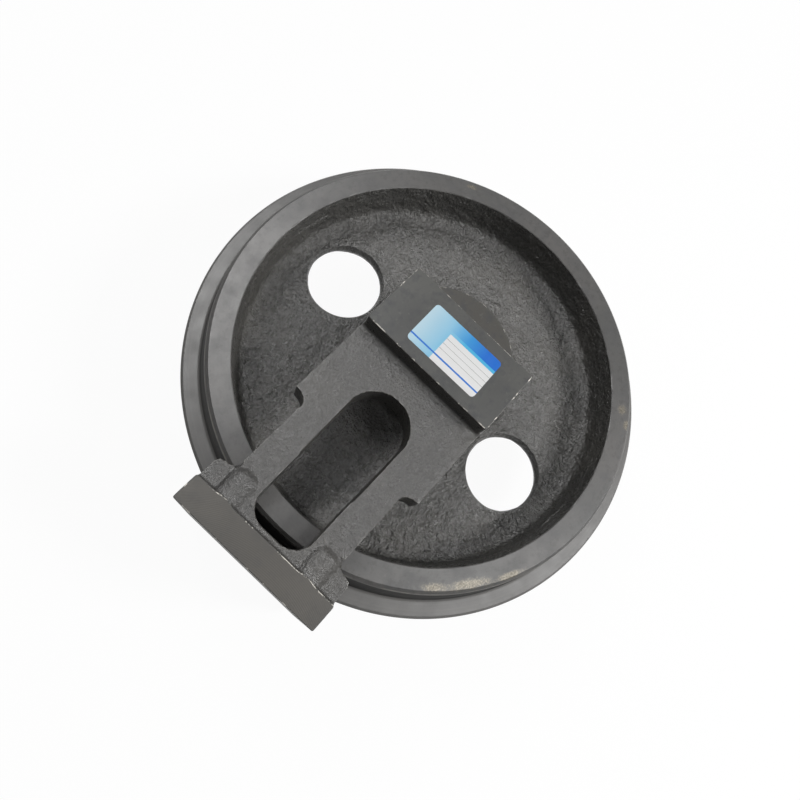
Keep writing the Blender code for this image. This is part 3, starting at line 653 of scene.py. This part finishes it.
def painted_turned_iron(name):
    """Thin satin primer over lathe-turned iron, with scuffs where chains and floors wore it. A
    lighter flange is a painted sheen, the dark tread band is painted shade, and thin light lines
    at the rim's edge are painted highlights.
    """
    material, tree, shader, place = start_finish(name)
    radius, height = ring_radius(tree, place)
    broad = cloud(tree, place, 0.075, 3.0)
    blotch = cloud(tree, place, 0.018, 4.0, 0.6)
    smear = cloud(tree, place, 0.0065, 4.0, 0.75)
    fine = cloud(tree, place, 0.0016, 3.0, 0.6)
    turned = tool_rings(tree, radius, height, 2600.0)
    tone = blend_colour(tree, fade(tree, broad, 0.35, 0.65), *PRIMER_TONES)
    # Lighter on the flange, out from the tread: a painted sheen for the light the flange catches.
    flange = fade(tree, radius, TREAD_RADIUS, TREAD_RADIUS + 0.001, 0.0, 0.6)
    tone = stained(tree, tone, flange, FLANGE_SHEEN_TONE)
    rim = fade(tree, radius, RIM_EDGE_RADIUS, TREAD_RADIUS, 1.0, 0.2)
    tone = stained(tree, tone, fade(tree, blotch, 0.44, 0.68, 0.0, 0.6), STAIN_TONE, rim)
    tone = stained(tree, tone, fade(tree, smear, 0.52, 0.62, 0.0, 0.4), DARK_SMEAR_TONE, rim)
    tone = stained(tree, tone, fade(tree, smear, 0.38, 0.30, 0.0, 0.4), PALE_SMEAR_TONE, rim)
    tone = stained(tree, tone, fade(tree, turned, 0.4, 0.7, 0.0, 0.16), TOOL_RING_TONE)
    # Near black band across the tread, from the rim's edge to the flange: painted shade in the
    # tread's root.
    tread_shade = times(tree, fade(tree, radius, RIM_EDGE_RADIUS, RIM_EDGE_RADIUS + 0.0004),
                   fade(tree, radius, TREAD_RADIUS, TREAD_RADIUS + 0.0010, 1.0, 0.0))
    tone = stained(tree, tone, tread_shade, TREAD_SHADE_TONE, 0.75)
    # Thin, patchy light lines along the chamfer and the tread: painted highlights.
    for line, reach, share in EDGE_HIGHLIGHT_LINES:
        near = calc(tree, "ABSOLUTE", calc(tree, "SUBTRACT", radius, line))
        patchy = fade(tree, blotch, 0.42, 0.60, 0.15 * share, share)
        tone = stained(tree, tone, fade(tree, near, 0.0, reach, 1.0, 0.0), EDGE_HIGHLIGHT_TONE,
                       patchy)
    worn = None
    for centre, length, width in RUB_MARKS:
        here = rub_mark(tree, place, centre, length, width)
        worn = here if worn is None else calc(tree, "MAXIMUM", worn, here)
    drawn_out = make(tree, "ShaderNodeMapping", {"Vector": place, "Scale": STREAK_STRETCH})
    streaks = cloud(tree, drawn_out.outputs[0], 0.0030, 3.0, 0.7)
    ragged = plus(tree, times(tree, streaks, 0.8), times(tree, fine, 0.5))
    worn = times(tree, fade(tree, worn, 0.0, 0.20),
                 fade(tree, plus(tree, worn, ragged), 1.06, 1.42))
    bare = blend_colour(tree, fade(tree, fine, 0.40, 0.64), *WORN_TONES)
    roughness = fade(tree, blotch, 0.35, 0.65, 0.38, 0.46)
    roughness = plus(tree, roughness, times(tree, tread_shade, 0.40))
    normal = bump(tree, blotch, 0.00010, bump(tree, turned, 0.00002))
    join_finish(tree, shader, stained(tree, tone, worn, bare), roughness, normal,
                times(tree, worn, 0.3))
    return material


def bare_turned_iron(name, tone, roughness):
    """Unpainted machined metal with fine tool rings and a greasy film."""
    material, tree, shader, place = start_finish(name)
    turned = tool_rings(tree, *ring_radius(tree, place), 3000.0)
    film = fade(tree, cloud(tree, place, 0.012, 4.0), 0.4, 0.65)
    colour = stained(tree, tone, film, [value * 0.6 for value in tone])
    shader.inputs["Metallic"].default_value = 1.0
    join_finish(tree, shader, colour, fade(tree, turned, 0.3, 0.7, roughness, roughness + 0.14),
                bump(tree, turned, 0.00001))
    return material


WHEEL_CAST = painted_sand_casting("wheel_sand_cast_paint", (0.084, 0.082, 0.077),
                                  (0.094, 0.089, 0.080), 0.0030, 0.0020, 0.28, 0.36, runs=0.0045)
WHEEL_TURNED = painted_turned_iron("wheel_turned_paint")
BARE_IRON = bare_turned_iron("bare_bored_iron", (0.42, 0.41, 0.40), 0.30)


def half_wheel_corners():
    """One side of the wheel's section from the hub's bore to the flange's rim."""
    half = WHEEL_HALF_WIDTH
    seal_floor = HUB_HALF_LENGTH - SEAL_BORE_DEPTH
    return [
        (HUB_BORE_RADIUS, OIL_CHAMBER_HALF_WIDTH, 0.0, 0.0),
        (HUB_BORE_RADIUS, seal_floor, 0.0, 0.0),
        (SEAL_BORE_RADIUS, seal_floor, 0.0, 0.0),
        (SEAL_BORE_RADIUS, HUB_HALF_LENGTH, 0.0, 0.0),
        (HUB_RADIUS - 0.002, HUB_HALF_LENGTH, 0.0, 0.4),
        (HUB_RADIUS, HUB_HALF_LENGTH - 0.003, 0.002, 1.0),
        (HUB_RADIUS + HUB_ROOT_SPREAD, WEB_HALF_THICKNESS, HUB_FILLET, 1.0),
        (WEB_RIDGE_RADIUS, WEB_HALF_THICKNESS, WEB_FILLET, 1.0),
        (RIM_INNER_RADIUS - RIM_DRAFT, WEB_HALF_THICKNESS - WEB_RUN_OUT, WEB_FILLET, 1.0),
        (RIM_INNER_RADIUS, half - EDGE_ROUND, 0.0, 0.25),
        (RIM_INNER_RADIUS + 0.0008, half, 0.0, 0.0),
        (RIM_EDGE_RADIUS - 0.0005 - RIM_CHAMFER, half, EDGE_ROUND, 0.0),
        (RIM_EDGE_RADIUS - 0.0005, half - RIM_CHAMFER, EDGE_ROUND, 0.0),
        (TREAD_RADIUS, FLANGE_HALF_WIDTH + 0.0012, FLANGE_FILLET, 0.0),
        (FLANGE_RADIUS - FLANGE_CHAMFER, FLANGE_HALF_WIDTH, EDGE_ROUND, 0.0),
        (FLANGE_RADIUS, FLANGE_HALF_WIDTH - FLANGE_CHAMFER, EDGE_ROUND, 0.0),
    ]


def shifted_flags(corners):
    """The mirrored side runs the other way, so each stretch takes the next corner's flag."""
    turned = []
    for index in range(len(corners) - 1, -1, -1):
        x, y, radius, _ = corners[index]
        rough = corners[index - 1][3] if index > 0 else 0.0
        turned.append((x, -y, radius, rough))
    return turned


near_side = half_wheel_corners()
chamber = [(OIL_CHAMBER_RADIUS, -OIL_CHAMBER_HALF_WIDTH, 0.0, 0.0),
           (OIL_CHAMBER_RADIUS, OIL_CHAMBER_HALF_WIDTH, 0.0, 0.0)]
wheel_outline = outline(near_side + shifted_flags(near_side) + chamber, SAND_SPACING,
                        SUPPORT_REACH)
wheel = profile_piece("idler_wheel", wheel_outline)
grow(wheel, LATHE, steps=WHEEL_STEPS, finish=WHEEL_CAST)
grow(wheel, SAND, lump_size=0.013, lump_depth=0.0012, grain_size=0.0060, grain_depth=0.0008,
     seed=3.0, finish=WHEEL_CAST)

flare = WEB_HOLE_RADIUS + WEB_HOLE_FLARE
core_outline = outline([
    (0.0, CORE_HALF_LENGTH, 0.0, 0.0),
    (flare + CORE_SPREAD, CORE_HALF_LENGTH, 0.0, 0.0),
    (flare, WEB_HALF_THICKNESS, 0.004, 0.8),
    (WEB_HOLE_RADIUS, 0.0, 0.006, 0.8),
    (flare, -WEB_HALF_THICKNESS, 0.004, 0.8),
    (flare + CORE_SPREAD, -CORE_HALF_LENGTH, 0.0, 0.0),
    (0.0, -CORE_HALF_LENGTH, 0.0, 0.0),
], CORE_SPACING)
cores = []
for core_index in range(2):
    angle = WEB_HOLE_ANGLE + core_index * math.pi
    core = profile_piece("web_hole_core_%d" % core_index, core_outline)
    grow(core, LATHE, steps=CORE_STEPS, finish=WHEEL_CAST)
    grow(core, SAND, lump_size=0.020, lump_depth=0.0010, grain_size=0.005, grain_depth=0.0003,
         seed=11.0 + core_index, finish=WHEEL_CAST)
    outward(finished_mesh(core))
    core.data.transform(Matrix.Translation((WEB_HOLE_ORBIT * math.cos(angle),
                                            WEB_HOLE_ORBIT * math.sin(angle), 0.0)))
    cores.append(core)
outward(finished_mesh(wheel))
for core in cores:
    cut(wheel, core)
wheel_mesh = finished_mesh(wheel)
drop(*cores)


def dress_wheel(mesh):
    """Gives each face the finish of its zone: cast, turned and painted, or bare bores."""
    middles = face_middles(mesh)
    radius = np.hypot(middles[:, 0], middles[:, 1])
    height = np.abs(middles[:, 2])
    turned = (radius > RIM_INNER_RADIUS + 0.0001) & (height > WHEEL_HALF_WIDTH - 0.0004)
    turned |= radius > RIM_EDGE_RADIUS - 0.004
    bare = (radius < SEAL_BORE_RADIUS + 0.0002) & (height < HUB_HALF_LENGTH - 0.0001)
    slots = np.where(bare, 2, np.where(turned, 1, 0)).astype(np.int32)
    mesh.materials.clear()
    for material in (WHEEL_CAST, WHEEL_TURNED, BARE_IRON):
        mesh.materials.append(material)
    mesh.polygons.foreach_set("material_index", slots)
    mesh.shade_smooth()
    mesh.set_sharp_from_angle(angle=WHEEL_SHARP_ANGLE)


mark_edges(wheel_mesh)
dress_wheel(wheel_mesh)
wheel_mesh.transform(to_frame)
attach(wheel, "wheel_body")
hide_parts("wheel")


# ----------------------------------------
# Fork. One iron casting with two windowed arms, a guide pad over each shaft end and an
# end wall. The pads, the wall's edges and outer face, and the bores are machined.
ARM_INNER = 0.0505
ARM_OUTER = 0.0785
PAD_OUTER = 0.0965
WALL_HEIGHT = 0.0835
BLOCK_BACK = -0.028
BLOCK_FRONT = 0.117
BLOCK_HALF_WIDTH = 0.071
ARM_HALF_WIDTH = 0.056
BLOCK_BACK_CORNER = 0.003
BLOCK_FRONT_CORNER = 0.0015
NOTCH_RADIUS = 0.011
EAR_START = 0.200
EAR_FILLET = 0.015
EAR_CORNER = 0.006
EAR_STEP = 0.001
WALL_INNER = 0.222
WALL_OUTER = 0.2465
WALL_HALF_WIDTH = 0.0735
WALL_HOLLOW_RADIUS = 0.2335
WALL_HOLLOW_HALF_HEIGHT = 0.054
SLOT_START = 0.064
SLOT_END = 0.2165
SLOT_HALF_WIDTH = 0.0307
SLOT_FAR_HALF_WIDTH = 0.0275
SLOT_FAR_CORNER = 0.018
PAD_HALF_LENGTH = 0.034
PAD_HALF_WIDTH = 0.070
PAD_DRAFT = 0.0025
SHAFT_BOSS_RADIUS = 0.068
SHAFT_BOSS_TOP = 0.0725
SHAFT_BOSS_FACE = 0.0720
BOSS_FACE_END = -0.0372
SEAL_BOSS_RADIUS = 0.054
SEAL_BOSS_ROOT = 0.0645
SEAL_BOSS_END = 0.040
THRUST_FACE = 0.0285
THRUST_RADIUS = 0.0267
SEAL_POCKET_FLOOR = 0.051
SHAFT_BORE_RADIUS = 0.0223
BLIND_BORE_END = 0.091
BULLET_RADIUS = 0.013
BULLET_OFFSET = 0.0445
BULLET_TIP = 0.189
BULLET_GROOVE = 0.0016
BULLET_SPREAD = 1.22
LOCK_OFFSET = 0.019
LOCK_HEIGHT = 0.0615
LOCK_PIN_BORE = 0.0063
LOCK_PLUG_BORE = 0.0070
LOCK_BORE_END = 0.0266
LOCK_STEP = -0.05499
LOCK_BORE_MOUTH = -0.09
SHAFT_BORE_MOUTH = -0.12
EDGE_WEAR = 0.0007
ALLOWANCE = 0.0015
VOXEL = 0.0016
FLAT_MARGIN = 0.00001
PROFILE_SPACING = 0.0012
HOLLOW_STEPS = 300
BOSS_STEPS = 120
BORE_STEPS = 96
SMALL_BAR_STEPS = 40
CUTTER_REACH = 0.1
CUTTER_DEPTH = 0.02
CUTTER_END = 0.30
FORK_SHARP_ANGLE = math.radians(38.0)


def plate(name, points, low, high):
    """A flat outline given thickness."""
    form = bmesh.new()
    ring = [form.verts.new((point[0], point[1], low)) for point in points]
    bottom = form.faces.new(ring)
    lifted = bmesh.ops.extrude_face_region(form, geom=[bottom])["geom"]
    top = [item for item in lifted if isinstance(item, bmesh.types.BMVert)]
    bmesh.ops.translate(form, vec=(0.0, 0.0, high - low), verts=top)
    bmesh.ops.recalc_face_normals(form, faces=form.faces)
    mesh = bpy.data.meshes.new(name)
    form.to_mesh(mesh)
    form.free()
    return new_piece(name, mesh)


def block(name, low, high):
    points = [(low[0], low[1]), (high[0], low[1]), (high[0], high[1]), (low[0], high[1])]
    return plate(name, points, low[2], high[2])


def round_bar(name, points, steps, matrix=None):
    """A solid bar from (radius, height) points that start and end on its axis."""
    piece = profile_piece(name, [(radius, height, 0.0) for radius, height in points])
    grow(piece, LATHE, steps=steps)
    outward(finished_mesh(piece))
    if matrix is not None:
        piece.data.transform(matrix)
    return piece


def plain_bar(name, radius, low, high, steps):
    points = [(0.0, high), (radius, high), (radius, low), (0.0, low)]
    return round_bar(name, points, steps)


def arm_outline():
    """Wide block, round notches, narrow arm, and ears that spread to the end wall."""
    side = [
        (BLOCK_BACK, -BLOCK_HALF_WIDTH, BLOCK_BACK_CORNER, 0.0),
        (BLOCK_FRONT, -BLOCK_HALF_WIDTH, BLOCK_FRONT_CORNER, 0.0),
        (BLOCK_FRONT + NOTCH_RADIUS / 4, -ARM_HALF_WIDTH, NOTCH_RADIUS, 0.0),
        (EAR_START, -ARM_HALF_WIDTH, EAR_FILLET, 0.0),
        (EAR_START, EAR_STEP - WALL_HALF_WIDTH, EAR_CORNER, 0.0),
        (WALL_INNER + 0.004, EAR_STEP - WALL_HALF_WIDTH, 0.0, 0.0),
    ]
    other = [(x, -y, radius, 0.0) for x, y, radius, _ in reversed(side)]
    return outline(side + other, PROFILE_SPACING)


def window_outline():
    """A window with one half-round end, narrowing to a squarer one at the wall."""
    round_end = 0.998 * SLOT_HALF_WIDTH
    return outline([
        (SLOT_START, -SLOT_HALF_WIDTH, round_end, 0.0),
        (SLOT_END, -SLOT_FAR_HALF_WIDTH, SLOT_FAR_CORNER, 0.0),
        (SLOT_END, SLOT_FAR_HALF_WIDTH, SLOT_FAR_CORNER, 0.0),
        (SLOT_START, SLOT_HALF_WIDTH, round_end, 0.0),
    ], PROFILE_SPACING)


def flip(points, side):
    return [(radius, side * height) for radius, height in points]


def fork_side_pieces(side):
    """Rough pieces of one arm, with metal left on for machining."""
    tag = "upper" if side > 0 else "lower"
    arm = plate("arm_" + tag, arm_outline(), *sorted((side * ARM_INNER, side * ARM_OUTER)))
    boss = round_bar("shaft_boss_" + tag, flip([
        (0.0, SHAFT_BOSS_TOP), (SHAFT_BOSS_RADIUS, SHAFT_BOSS_TOP),
        (SHAFT_BOSS_RADIUS + 0.001, ARM_INNER + 0.0005),
        (0.0, ARM_INNER + 0.0005)], side), BOSS_STEPS)
    trim = block("boss_trim_" + tag, (0.0, -CUTTER_REACH, -CUTTER_REACH), (CUTTER_REACH,) * 3)
    cut(boss, trim)
    finished_mesh(boss)
    drop(trim)
    seal_boss = round_bar("seal_boss_" + tag, flip([
        (0.0, SEAL_BOSS_ROOT), (SEAL_BOSS_RADIUS + 0.005, SEAL_BOSS_ROOT),
        (SEAL_BOSS_RADIUS + 0.004, ARM_INNER), (SEAL_BOSS_RADIUS, SEAL_BOSS_END),
        (THRUST_RADIUS, SEAL_BOSS_END), (THRUST_RADIUS, THRUST_FACE),
        (0.0, THRUST_FACE)], side), BOSS_STEPS)
    pad = block("pad_" + tag, (-PAD_HALF_LENGTH, -PAD_HALF_WIDTH, ARM_INNER + 0.009),
                (PAD_HALF_LENGTH, PAD_HALF_WIDTH, PAD_OUTER + ALLOWANCE))
    for vertex in pad.data.vertices:
        if vertex.co.z < PAD_OUTER:
            vertex.co.x += math.copysign(PAD_DRAFT, vertex.co.x)
        vertex.co.z *= side
    outward(pad.data)
    pieces = [(arm, "UNION"), (boss, "UNION"), (seal_boss, "UNION"), (pad, "UNION")]
    height = side * (WALL_HEIGHT - 0.0005 - BULLET_RADIUS)
    for index, offset in enumerate((-BULLET_OFFSET, BULLET_OFFSET)):
        place = (Matrix.Translation((0.0, offset, height))
                 @ Matrix.Diagonal((1.0, BULLET_SPREAD, 1.0, 1.0))
                 @ Matrix.Rotation(math.pi / 2, 4, "Y"))
        for name, radius, end, work in (
                ("groove", BULLET_RADIUS + BULLET_GROOVE, WALL_INNER - 0.001, "DIFFERENCE"),
                ("bullet", BULLET_RADIUS, WALL_INNER + 0.005, "UNION")):
            tip = BULLET_TIP + BULLET_RADIUS - radius
            dome = [(radius * math.sin(angle), tip + radius * (1 - math.cos(angle)))
                    for angle in np.linspace(0.0, math.pi / 2, 9)]
            bar = round_bar("%s_%s_%d" % (name, tag, index),
                            dome + [(radius, end), (0.0, end)], SMALL_BAR_STEPS, place)
            pieces.append((bar, work))
    return pieces


wall = block("fork_casting", (WALL_INNER, -WALL_HALF_WIDTH, -WALL_HEIGHT - ALLOWANCE),
             (WALL_OUTER + ALLOWANCE, WALL_HALF_WIDTH, WALL_HEIGHT + ALLOWANCE))
hollow = plain_bar("wall_hollow", WALL_HOLLOW_RADIUS, -WALL_HOLLOW_HALF_HEIGHT,
                   WALL_HOLLOW_HALF_HEIGHT, HOLLOW_STEPS)
cut(wall, hollow)
tools = [hollow]
for side in (1, -1):
    for piece, work in fork_side_pieces(side):
        cut(wall, piece, work)
        tools.append(piece)
window = plate("window", window_outline(), -CUTTER_REACH, CUTTER_REACH)
cut(wall, window)
tools.append(window)
remesh = wall.modifiers.new("mould", "REMESH")
remesh.mode = "VOXEL"
remesh.voxel_size = VOXEL
remesh.use_smooth_shade = True
soften = wall.modifiers.new("soft_mould_corners", "SMOOTH")
soften.factor = 0.5
soften.iterations = 2
FORK_CAST = painted_sand_casting("fork_sand_cast_paint", (0.060, 0.058, 0.055),
                                 (0.070, 0.066, 0.060), 0.0018, 0.00060, 0.35, 0.26)
grow(wall, SAND, lump_size=0.016, lump_depth=0.00035, grain_size=0.0045, grain_depth=0.00012,
     everywhere=1.0, seed=7.0, finish=FORK_CAST)
finished_mesh(wall)
drop(*tools)

tools = []
for side in (1, -1):
    for name, face, near, far in (
            ("pad", PAD_OUTER, -CUTTER_REACH, CUTTER_REACH),
            ("wall", WALL_HEIGHT, WALL_INNER - 0.002, CUTTER_END),
            ("boss", SHAFT_BOSS_FACE, -CUTTER_REACH, BOSS_FACE_END)):
        low, high = sorted((side * face, side * (face + CUTTER_DEPTH)))
        tools.append(block("%s_mill_%d" % (name, side), (near, -CUTTER_REACH, low),
                           (far, CUTTER_REACH, high)))
    tools.append(round_bar("seal_pocket_%d" % side, flip([
        (THRUST_RADIUS, SEAL_POCKET_FLOOR), (SEAL_BORE_RADIUS, SEAL_POCKET_FLOOR),
        (SEAL_BORE_RADIUS, SEAL_BOSS_END - 0.003), (THRUST_RADIUS, SEAL_BOSS_END - 0.003)],
        side), BORE_STEPS))
    tools.append(round_bar("lock_bore_%d" % side, [
        (0.0, LOCK_BORE_END), (LOCK_PIN_BORE, LOCK_BORE_END), (LOCK_PIN_BORE, LOCK_STEP),
        (LOCK_PLUG_BORE, LOCK_STEP), (LOCK_PLUG_BORE, LOCK_BORE_MOUTH),
        (0.0, LOCK_BORE_MOUTH)], SMALL_BAR_STEPS,
        Matrix.Translation((0.0, LOCK_OFFSET, side * LOCK_HEIGHT))
        @ Matrix.Rotation(math.pi / 2, 4, "Y")))
tools.append(block("face_mill", (WALL_OUTER, -CUTTER_REACH, -CUTTER_REACH),
                   (CUTTER_END, CUTTER_REACH, CUTTER_REACH)))
tools.append(plain_bar("shaft_bore", SHAFT_BORE_RADIUS, SHAFT_BORE_MOUTH, BLIND_BORE_END,
                       BORE_STEPS))
for tool in tools:
    cut(wall, tool)
fork_mesh = finished_mesh(wall)
drop(*tools)


MILL_SWEEP = 0.125
MILL_OFFSET = 0.022
MILL_FEED = 0.0016
DULL_TONES = ((0.034, 0.035, 0.034), (0.050, 0.046, 0.040))
CLEAN_TONES = ((0.062, 0.062, 0.057), (0.064, 0.058, 0.049))
BOSS_TONE = (0.042, 0.039, 0.033)
MILL_STAIN_TONE = (0.018, 0.020, 0.024)
MILL_SMEAR_TONE = (0.085, 0.082, 0.076)
ARC_TONE = (0.025, 0.024, 0.022)


def milled_iron(name):
    """Primer over a milled face: cutter arcs show through it, and its edges are worn."""
    material, tree, shader, place = start_finish(name)
    part = split(tree, place)
    side = calc(tree, "SUBTRACT", part[1], MILL_OFFSET)
    squared = calc(tree, "SUBTRACT", MILL_SWEEP * MILL_SWEEP, times(tree, side, side))
    phase = plus(tree, part[0], calc(tree, "SQRT", calc(tree, "MAXIMUM", squared, 0.0)))
    arcs = calc(tree, "SINE", times(tree, phase, 2 * math.pi / MILL_FEED))
    broad = cloud(tree, place, 0.050, 3.0)
    blotch = cloud(tree, place, 0.012, 4.0, 0.6)
    smear = cloud(tree, place, 0.005, 3.0, 0.7)
    warm = fade(tree, part[0], 0.10, 0.20)
    pads = fade(tree, warm, 0.0, 1.0, 1.0, 0.25)
    dull = blend_colour(tree, warm, *DULL_TONES)
    clean = blend_colour(tree, warm, *CLEAN_TONES)
    tone = blend_colour(tree, fade(tree, broad, 0.35, 0.68), dull, clean)
    boss = calc(tree, "LESS_THAN", part[0], BOSS_FACE_END)
    tone = stained(tree, tone, boss, BOSS_TONE)
    tone = stained(tree, tone, fade(tree, blotch, 0.50, 0.66, 0.0, 0.6), MILL_STAIN_TONE, pads)
    tone = stained(tree, tone, fade(tree, smear, 0.38, 0.30, 0.0, 0.5), MILL_SMEAR_TONE, pads)
    tone = stained(tree, tone, fade(tree, arcs, -1.0, 1.0, 0.0, 0.10), ARC_TONE)
    normal = bump(tree, blotch, 0.00006, bump(tree, arcs, 0.000012))
    join_finish(tree, shader, tone, fade(tree, blotch, 0.35, 0.65, 0.44, 0.50), normal)
    return material


CHIPPED_TONES = ((0.070, 0.069, 0.064), (0.45, 0.43, 0.39))


def chipped_edge(name):
    """Edge where the primer has been knocked off here and there."""
    material, tree, shader, place = start_finish(name)
    patch = cloud(tree, place, 0.010, 3.0, 0.7)
    fine = cloud(tree, place, 0.002, 3.0, 0.7)
    worn = fade(tree, plus(tree, patch, times(tree, fine, 0.5)), 0.80, 0.86)
    colour = blend_colour(tree, worn, *CHIPPED_TONES)
    join_finish(tree, shader, colour, fade(tree, worn, 0.0, 1.0, 0.5, 0.42),
                bump(tree, fine, 0.0001), times(tree, worn, 0.5))
    return material


MILLED = milled_iron("milled_face_paint")
CHIPPED = chipped_edge("chipped_edge_paint")


def ease_edges(form, mark, axis):
    """Makes a marked zone, which faces along an axis, one face with a worn edge round it."""
    bmesh.ops.dissolve_faces(form, use_verts=False, faces=[
        face for face in form.faces if face.material_index == mark])
    whole = [face for face in form.faces if face.material_index == mark]
    strip = bmesh.ops.inset_region(form, faces=whole, thickness=EDGE_WEAR, use_boundary=True,
                                   use_even_offset=False)["faces"]
    zone = set(strip) | set(whole)
    for point in {vert for face in strip for vert in face.verts}:
        if any(face not in zone for face in point.link_faces):
            point.co[axis] -= math.copysign(EDGE_WEAR / 2, point.co[axis])
    for faces, slot in ((whole, 1), (strip, 2)):
        for face in faces:
            face.material_index = slot


def dress_fork(mesh):
    """Finds the milled faces and bores, eases the milled edges and hands out finishes."""
    middles = face_middles(mesh)
    x, y, z = middles[:, 0], middles[:, 1], np.abs(middles[:, 2])
    upper = middles[:, 2] > 0.0
    pads = z > PAD_OUTER - FLAT_MARGIN
    rims = (z > WALL_HEIGHT - FLAT_MARGIN) & (x > WALL_INNER - 0.003) & ~pads
    outer = x > WALL_OUTER - FLAT_MARGIN
    bosses = (np.abs(z - SHAFT_BOSS_FACE) < FLAT_MARGIN) & (x < BOSS_FACE_END)
    radius = np.hypot(x, y)
    bores = radius < SHAFT_BORE_RADIUS + 0.0004
    bores |= (radius < SEAL_BORE_RADIUS + 0.0002) & (z < SEAL_POCKET_FLOOR + 0.0002)
    lock = np.hypot(y - LOCK_OFFSET, z - LOCK_HEIGHT) < LOCK_PLUG_BORE + 0.0002
    bores |= lock & (x < 0.0)
    mesh.materials.clear()
    for material in (FORK_CAST, MILLED, CHIPPED, BARE_IRON):
        mesh.materials.append(material)
    zones = ((pads, 2), (rims, 2), (outer, 0), (bosses & upper, 2), (bosses & ~upper, 2))
    slots = np.zeros(len(middles), np.int32)
    marks = range(4, 4 + len(zones))
    for mark, (zone, _) in zip(marks, zones):
        slots[zone] = mark
    slots[bores & ~pads] = 3
    mesh.polygons.foreach_set("material_index", slots)
    form = bmesh.new()
    form.from_mesh(mesh)
    milled = [vert for vert in form.verts
              if any(face.material_index in marks for face in vert.link_faces)]
    bmesh.ops.remove_doubles(form, verts=milled, dist=EDGE_WEAR / 2)
    for mark, (_, axis) in zip(marks, zones):
        ease_edges(form, mark, axis)
    form.to_mesh(mesh)
    form.free()
    mesh.shade_smooth()
    mesh.set_sharp_from_angle(angle=FORK_SHARP_ANGLE)
    for polygon in mesh.polygons:
        if polygon.material_index in (1, 2):
            polygon.use_smooth = False


mark_edges(fork_mesh)
dress_fork(fork_mesh)
fork_mesh.transform(to_frame)
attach(wall, "fork_body")
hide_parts("fork")


# ----------------------------------------
# Stock label. A glossy printed film on the upper guide pad, over the shaft's closed end.
LABEL_LENGTH = 0.0775
LABEL_WIDTH = 0.044
LABEL_THICKNESS = 0.00015
LABEL_CORNER = 0.0036
LABEL_PLACE = (0.0005, 0.0037, PAD_OUTER + 0.00002)
LABEL_TURN = math.radians(0.9)
LABEL_SPACING = 0.0005
PALE_BLUE = (0.46, 0.62, 0.70)
BRIGHT_BLUE = (0.06, 0.40, 0.66)
DEEP_BLUE = (0.004, 0.13, 0.55)
DEEP_BAND_EDGE = -0.0115
PANEL_CORNER = (-0.0085, -0.012)
PANEL_WHITE = (0.70, 0.70, 0.70)
WRITING_INK = (0.20, 0.20, 0.20)
# Distance across the label, half width and ink of each rule. The thin ones are for writing on
# and stay within the panel.
LABEL_RULES = (
    (0.0153, 0.00080, (0.01, 0.15, 0.55)),
    (-0.0030, 0.00016, WRITING_INK),
    (0.0025, 0.00016, WRITING_INK),
    (0.0080, 0.00016, WRITING_INK),
)

label_corners = [(x * LABEL_WIDTH / 2, y * LABEL_LENGTH / 2, LABEL_CORNER, 0.0)
                 for x, y in ((-1, -1), (1, -1), (1, 1), (-1, 1))]
label = plate("stock_label", outline(label_corners, LABEL_SPACING), 0.0, LABEL_THICKNESS)


def printed_film(name):
    """Glossy blue film that pales to one end, with a plain white panel and rules."""
    material, tree, shader, place = start_finish(name)
    local = make(tree, "ShaderNodeMapping", {
        "Vector": place, "Location": LABEL_PLACE, "Rotation": (0.0, 0.0, LABEL_TURN)},
        vector_type="TEXTURE").outputs[0]
    part = split(tree, local)
    across, along = part[0], part[1]
    colour = blend_colour(tree, fade(tree, along, -0.040, 0.004), PALE_BLUE, BRIGHT_BLUE)
    band = calc(tree, "LESS_THAN", across, DEEP_BAND_EDGE)
    colour = stained(tree, colour, fade(tree, along, -0.016, 0.024), DEEP_BLUE, band)
    panel = times(tree, calc(tree, "GREATER_THAN", across, PANEL_CORNER[0]),
                  calc(tree, "GREATER_THAN", along, PANEL_CORNER[1]))
    colour = stained(tree, colour, panel, PANEL_WHITE)
    for middle, half, ink in LABEL_RULES:
        away = calc(tree, "ABSOLUTE", calc(tree, "SUBTRACT", across, middle))
        rule = calc(tree, "LESS_THAN", away, half)
        colour = stained(tree, colour, rule, ink, panel if ink == WRITING_INK else None)
    join_finish(tree, shader, colour, fade(tree, cloud(tree, place, 0.01), 0.3, 0.7, 0.28, 0.36))
    return material


label.data.materials.append(printed_film("printed_film"))
label.data.transform(Matrix.Translation(LABEL_PLACE) @ Matrix.Rotation(LABEL_TURN, 4, "Z"))
label.data.transform(to_frame)
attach(label, "fork_body")


# ----------------------------------------
# Shaft, bushings, seals, locks and oil plug. They come from the frame as they are; each
# gets the finish of its metal or rubber.
def soft_rubber(name):
    material, tree, shader, place = start_finish(name)
    grain = cloud(tree, place, 0.001, 3.0)
    colour = blend_colour(tree, fade(tree, grain, 0.35, 0.65), (0.016, 0.016, 0.017),
                          (0.030, 0.030, 0.031))
    join_finish(tree, shader, colour, fade(tree, grain, 0.3, 0.7, 0.62, 0.78),
                bump(tree, grain, 0.00004))
    return material


RUBBER = soft_rubber("black_rubber")
# A node takes the finish of the first of these words that its name holds.
INNER_FINISHES = {
    "oil_plug_washer": bare_turned_iron("soft_copper", (0.70, 0.36, 0.22), 0.34),
    "oil_plug": bare_turned_iron("plated_oil_plug_steel", (0.52, 0.51, 0.46), 0.32),
    "lock_plug": bare_turned_iron("plated_plug_steel", (0.50, 0.49, 0.44), 0.34),
    "lock_pin": bare_turned_iron("ground_pin_steel", (0.48, 0.48, 0.47), 0.26),
    "seal_ring": bare_turned_iron("lapped_seal_iron", (0.36, 0.36, 0.37), 0.20),
    "toric": RUBBER,
    "oring": RUBBER,
    "bushing": bare_turned_iron("turned_bronze", (0.60, 0.40, 0.18), 0.30),
    "shaft": bare_turned_iron("ground_shaft_steel", (0.50, 0.50, 0.49), 0.24),
}
for node_name, node_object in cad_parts.items():
    for word in [word for word in INNER_FINISHES if word in node_name][:1]:
        for material_slot in node_object.material_slots:
            material_slot.material = INNER_FINISHES[word]
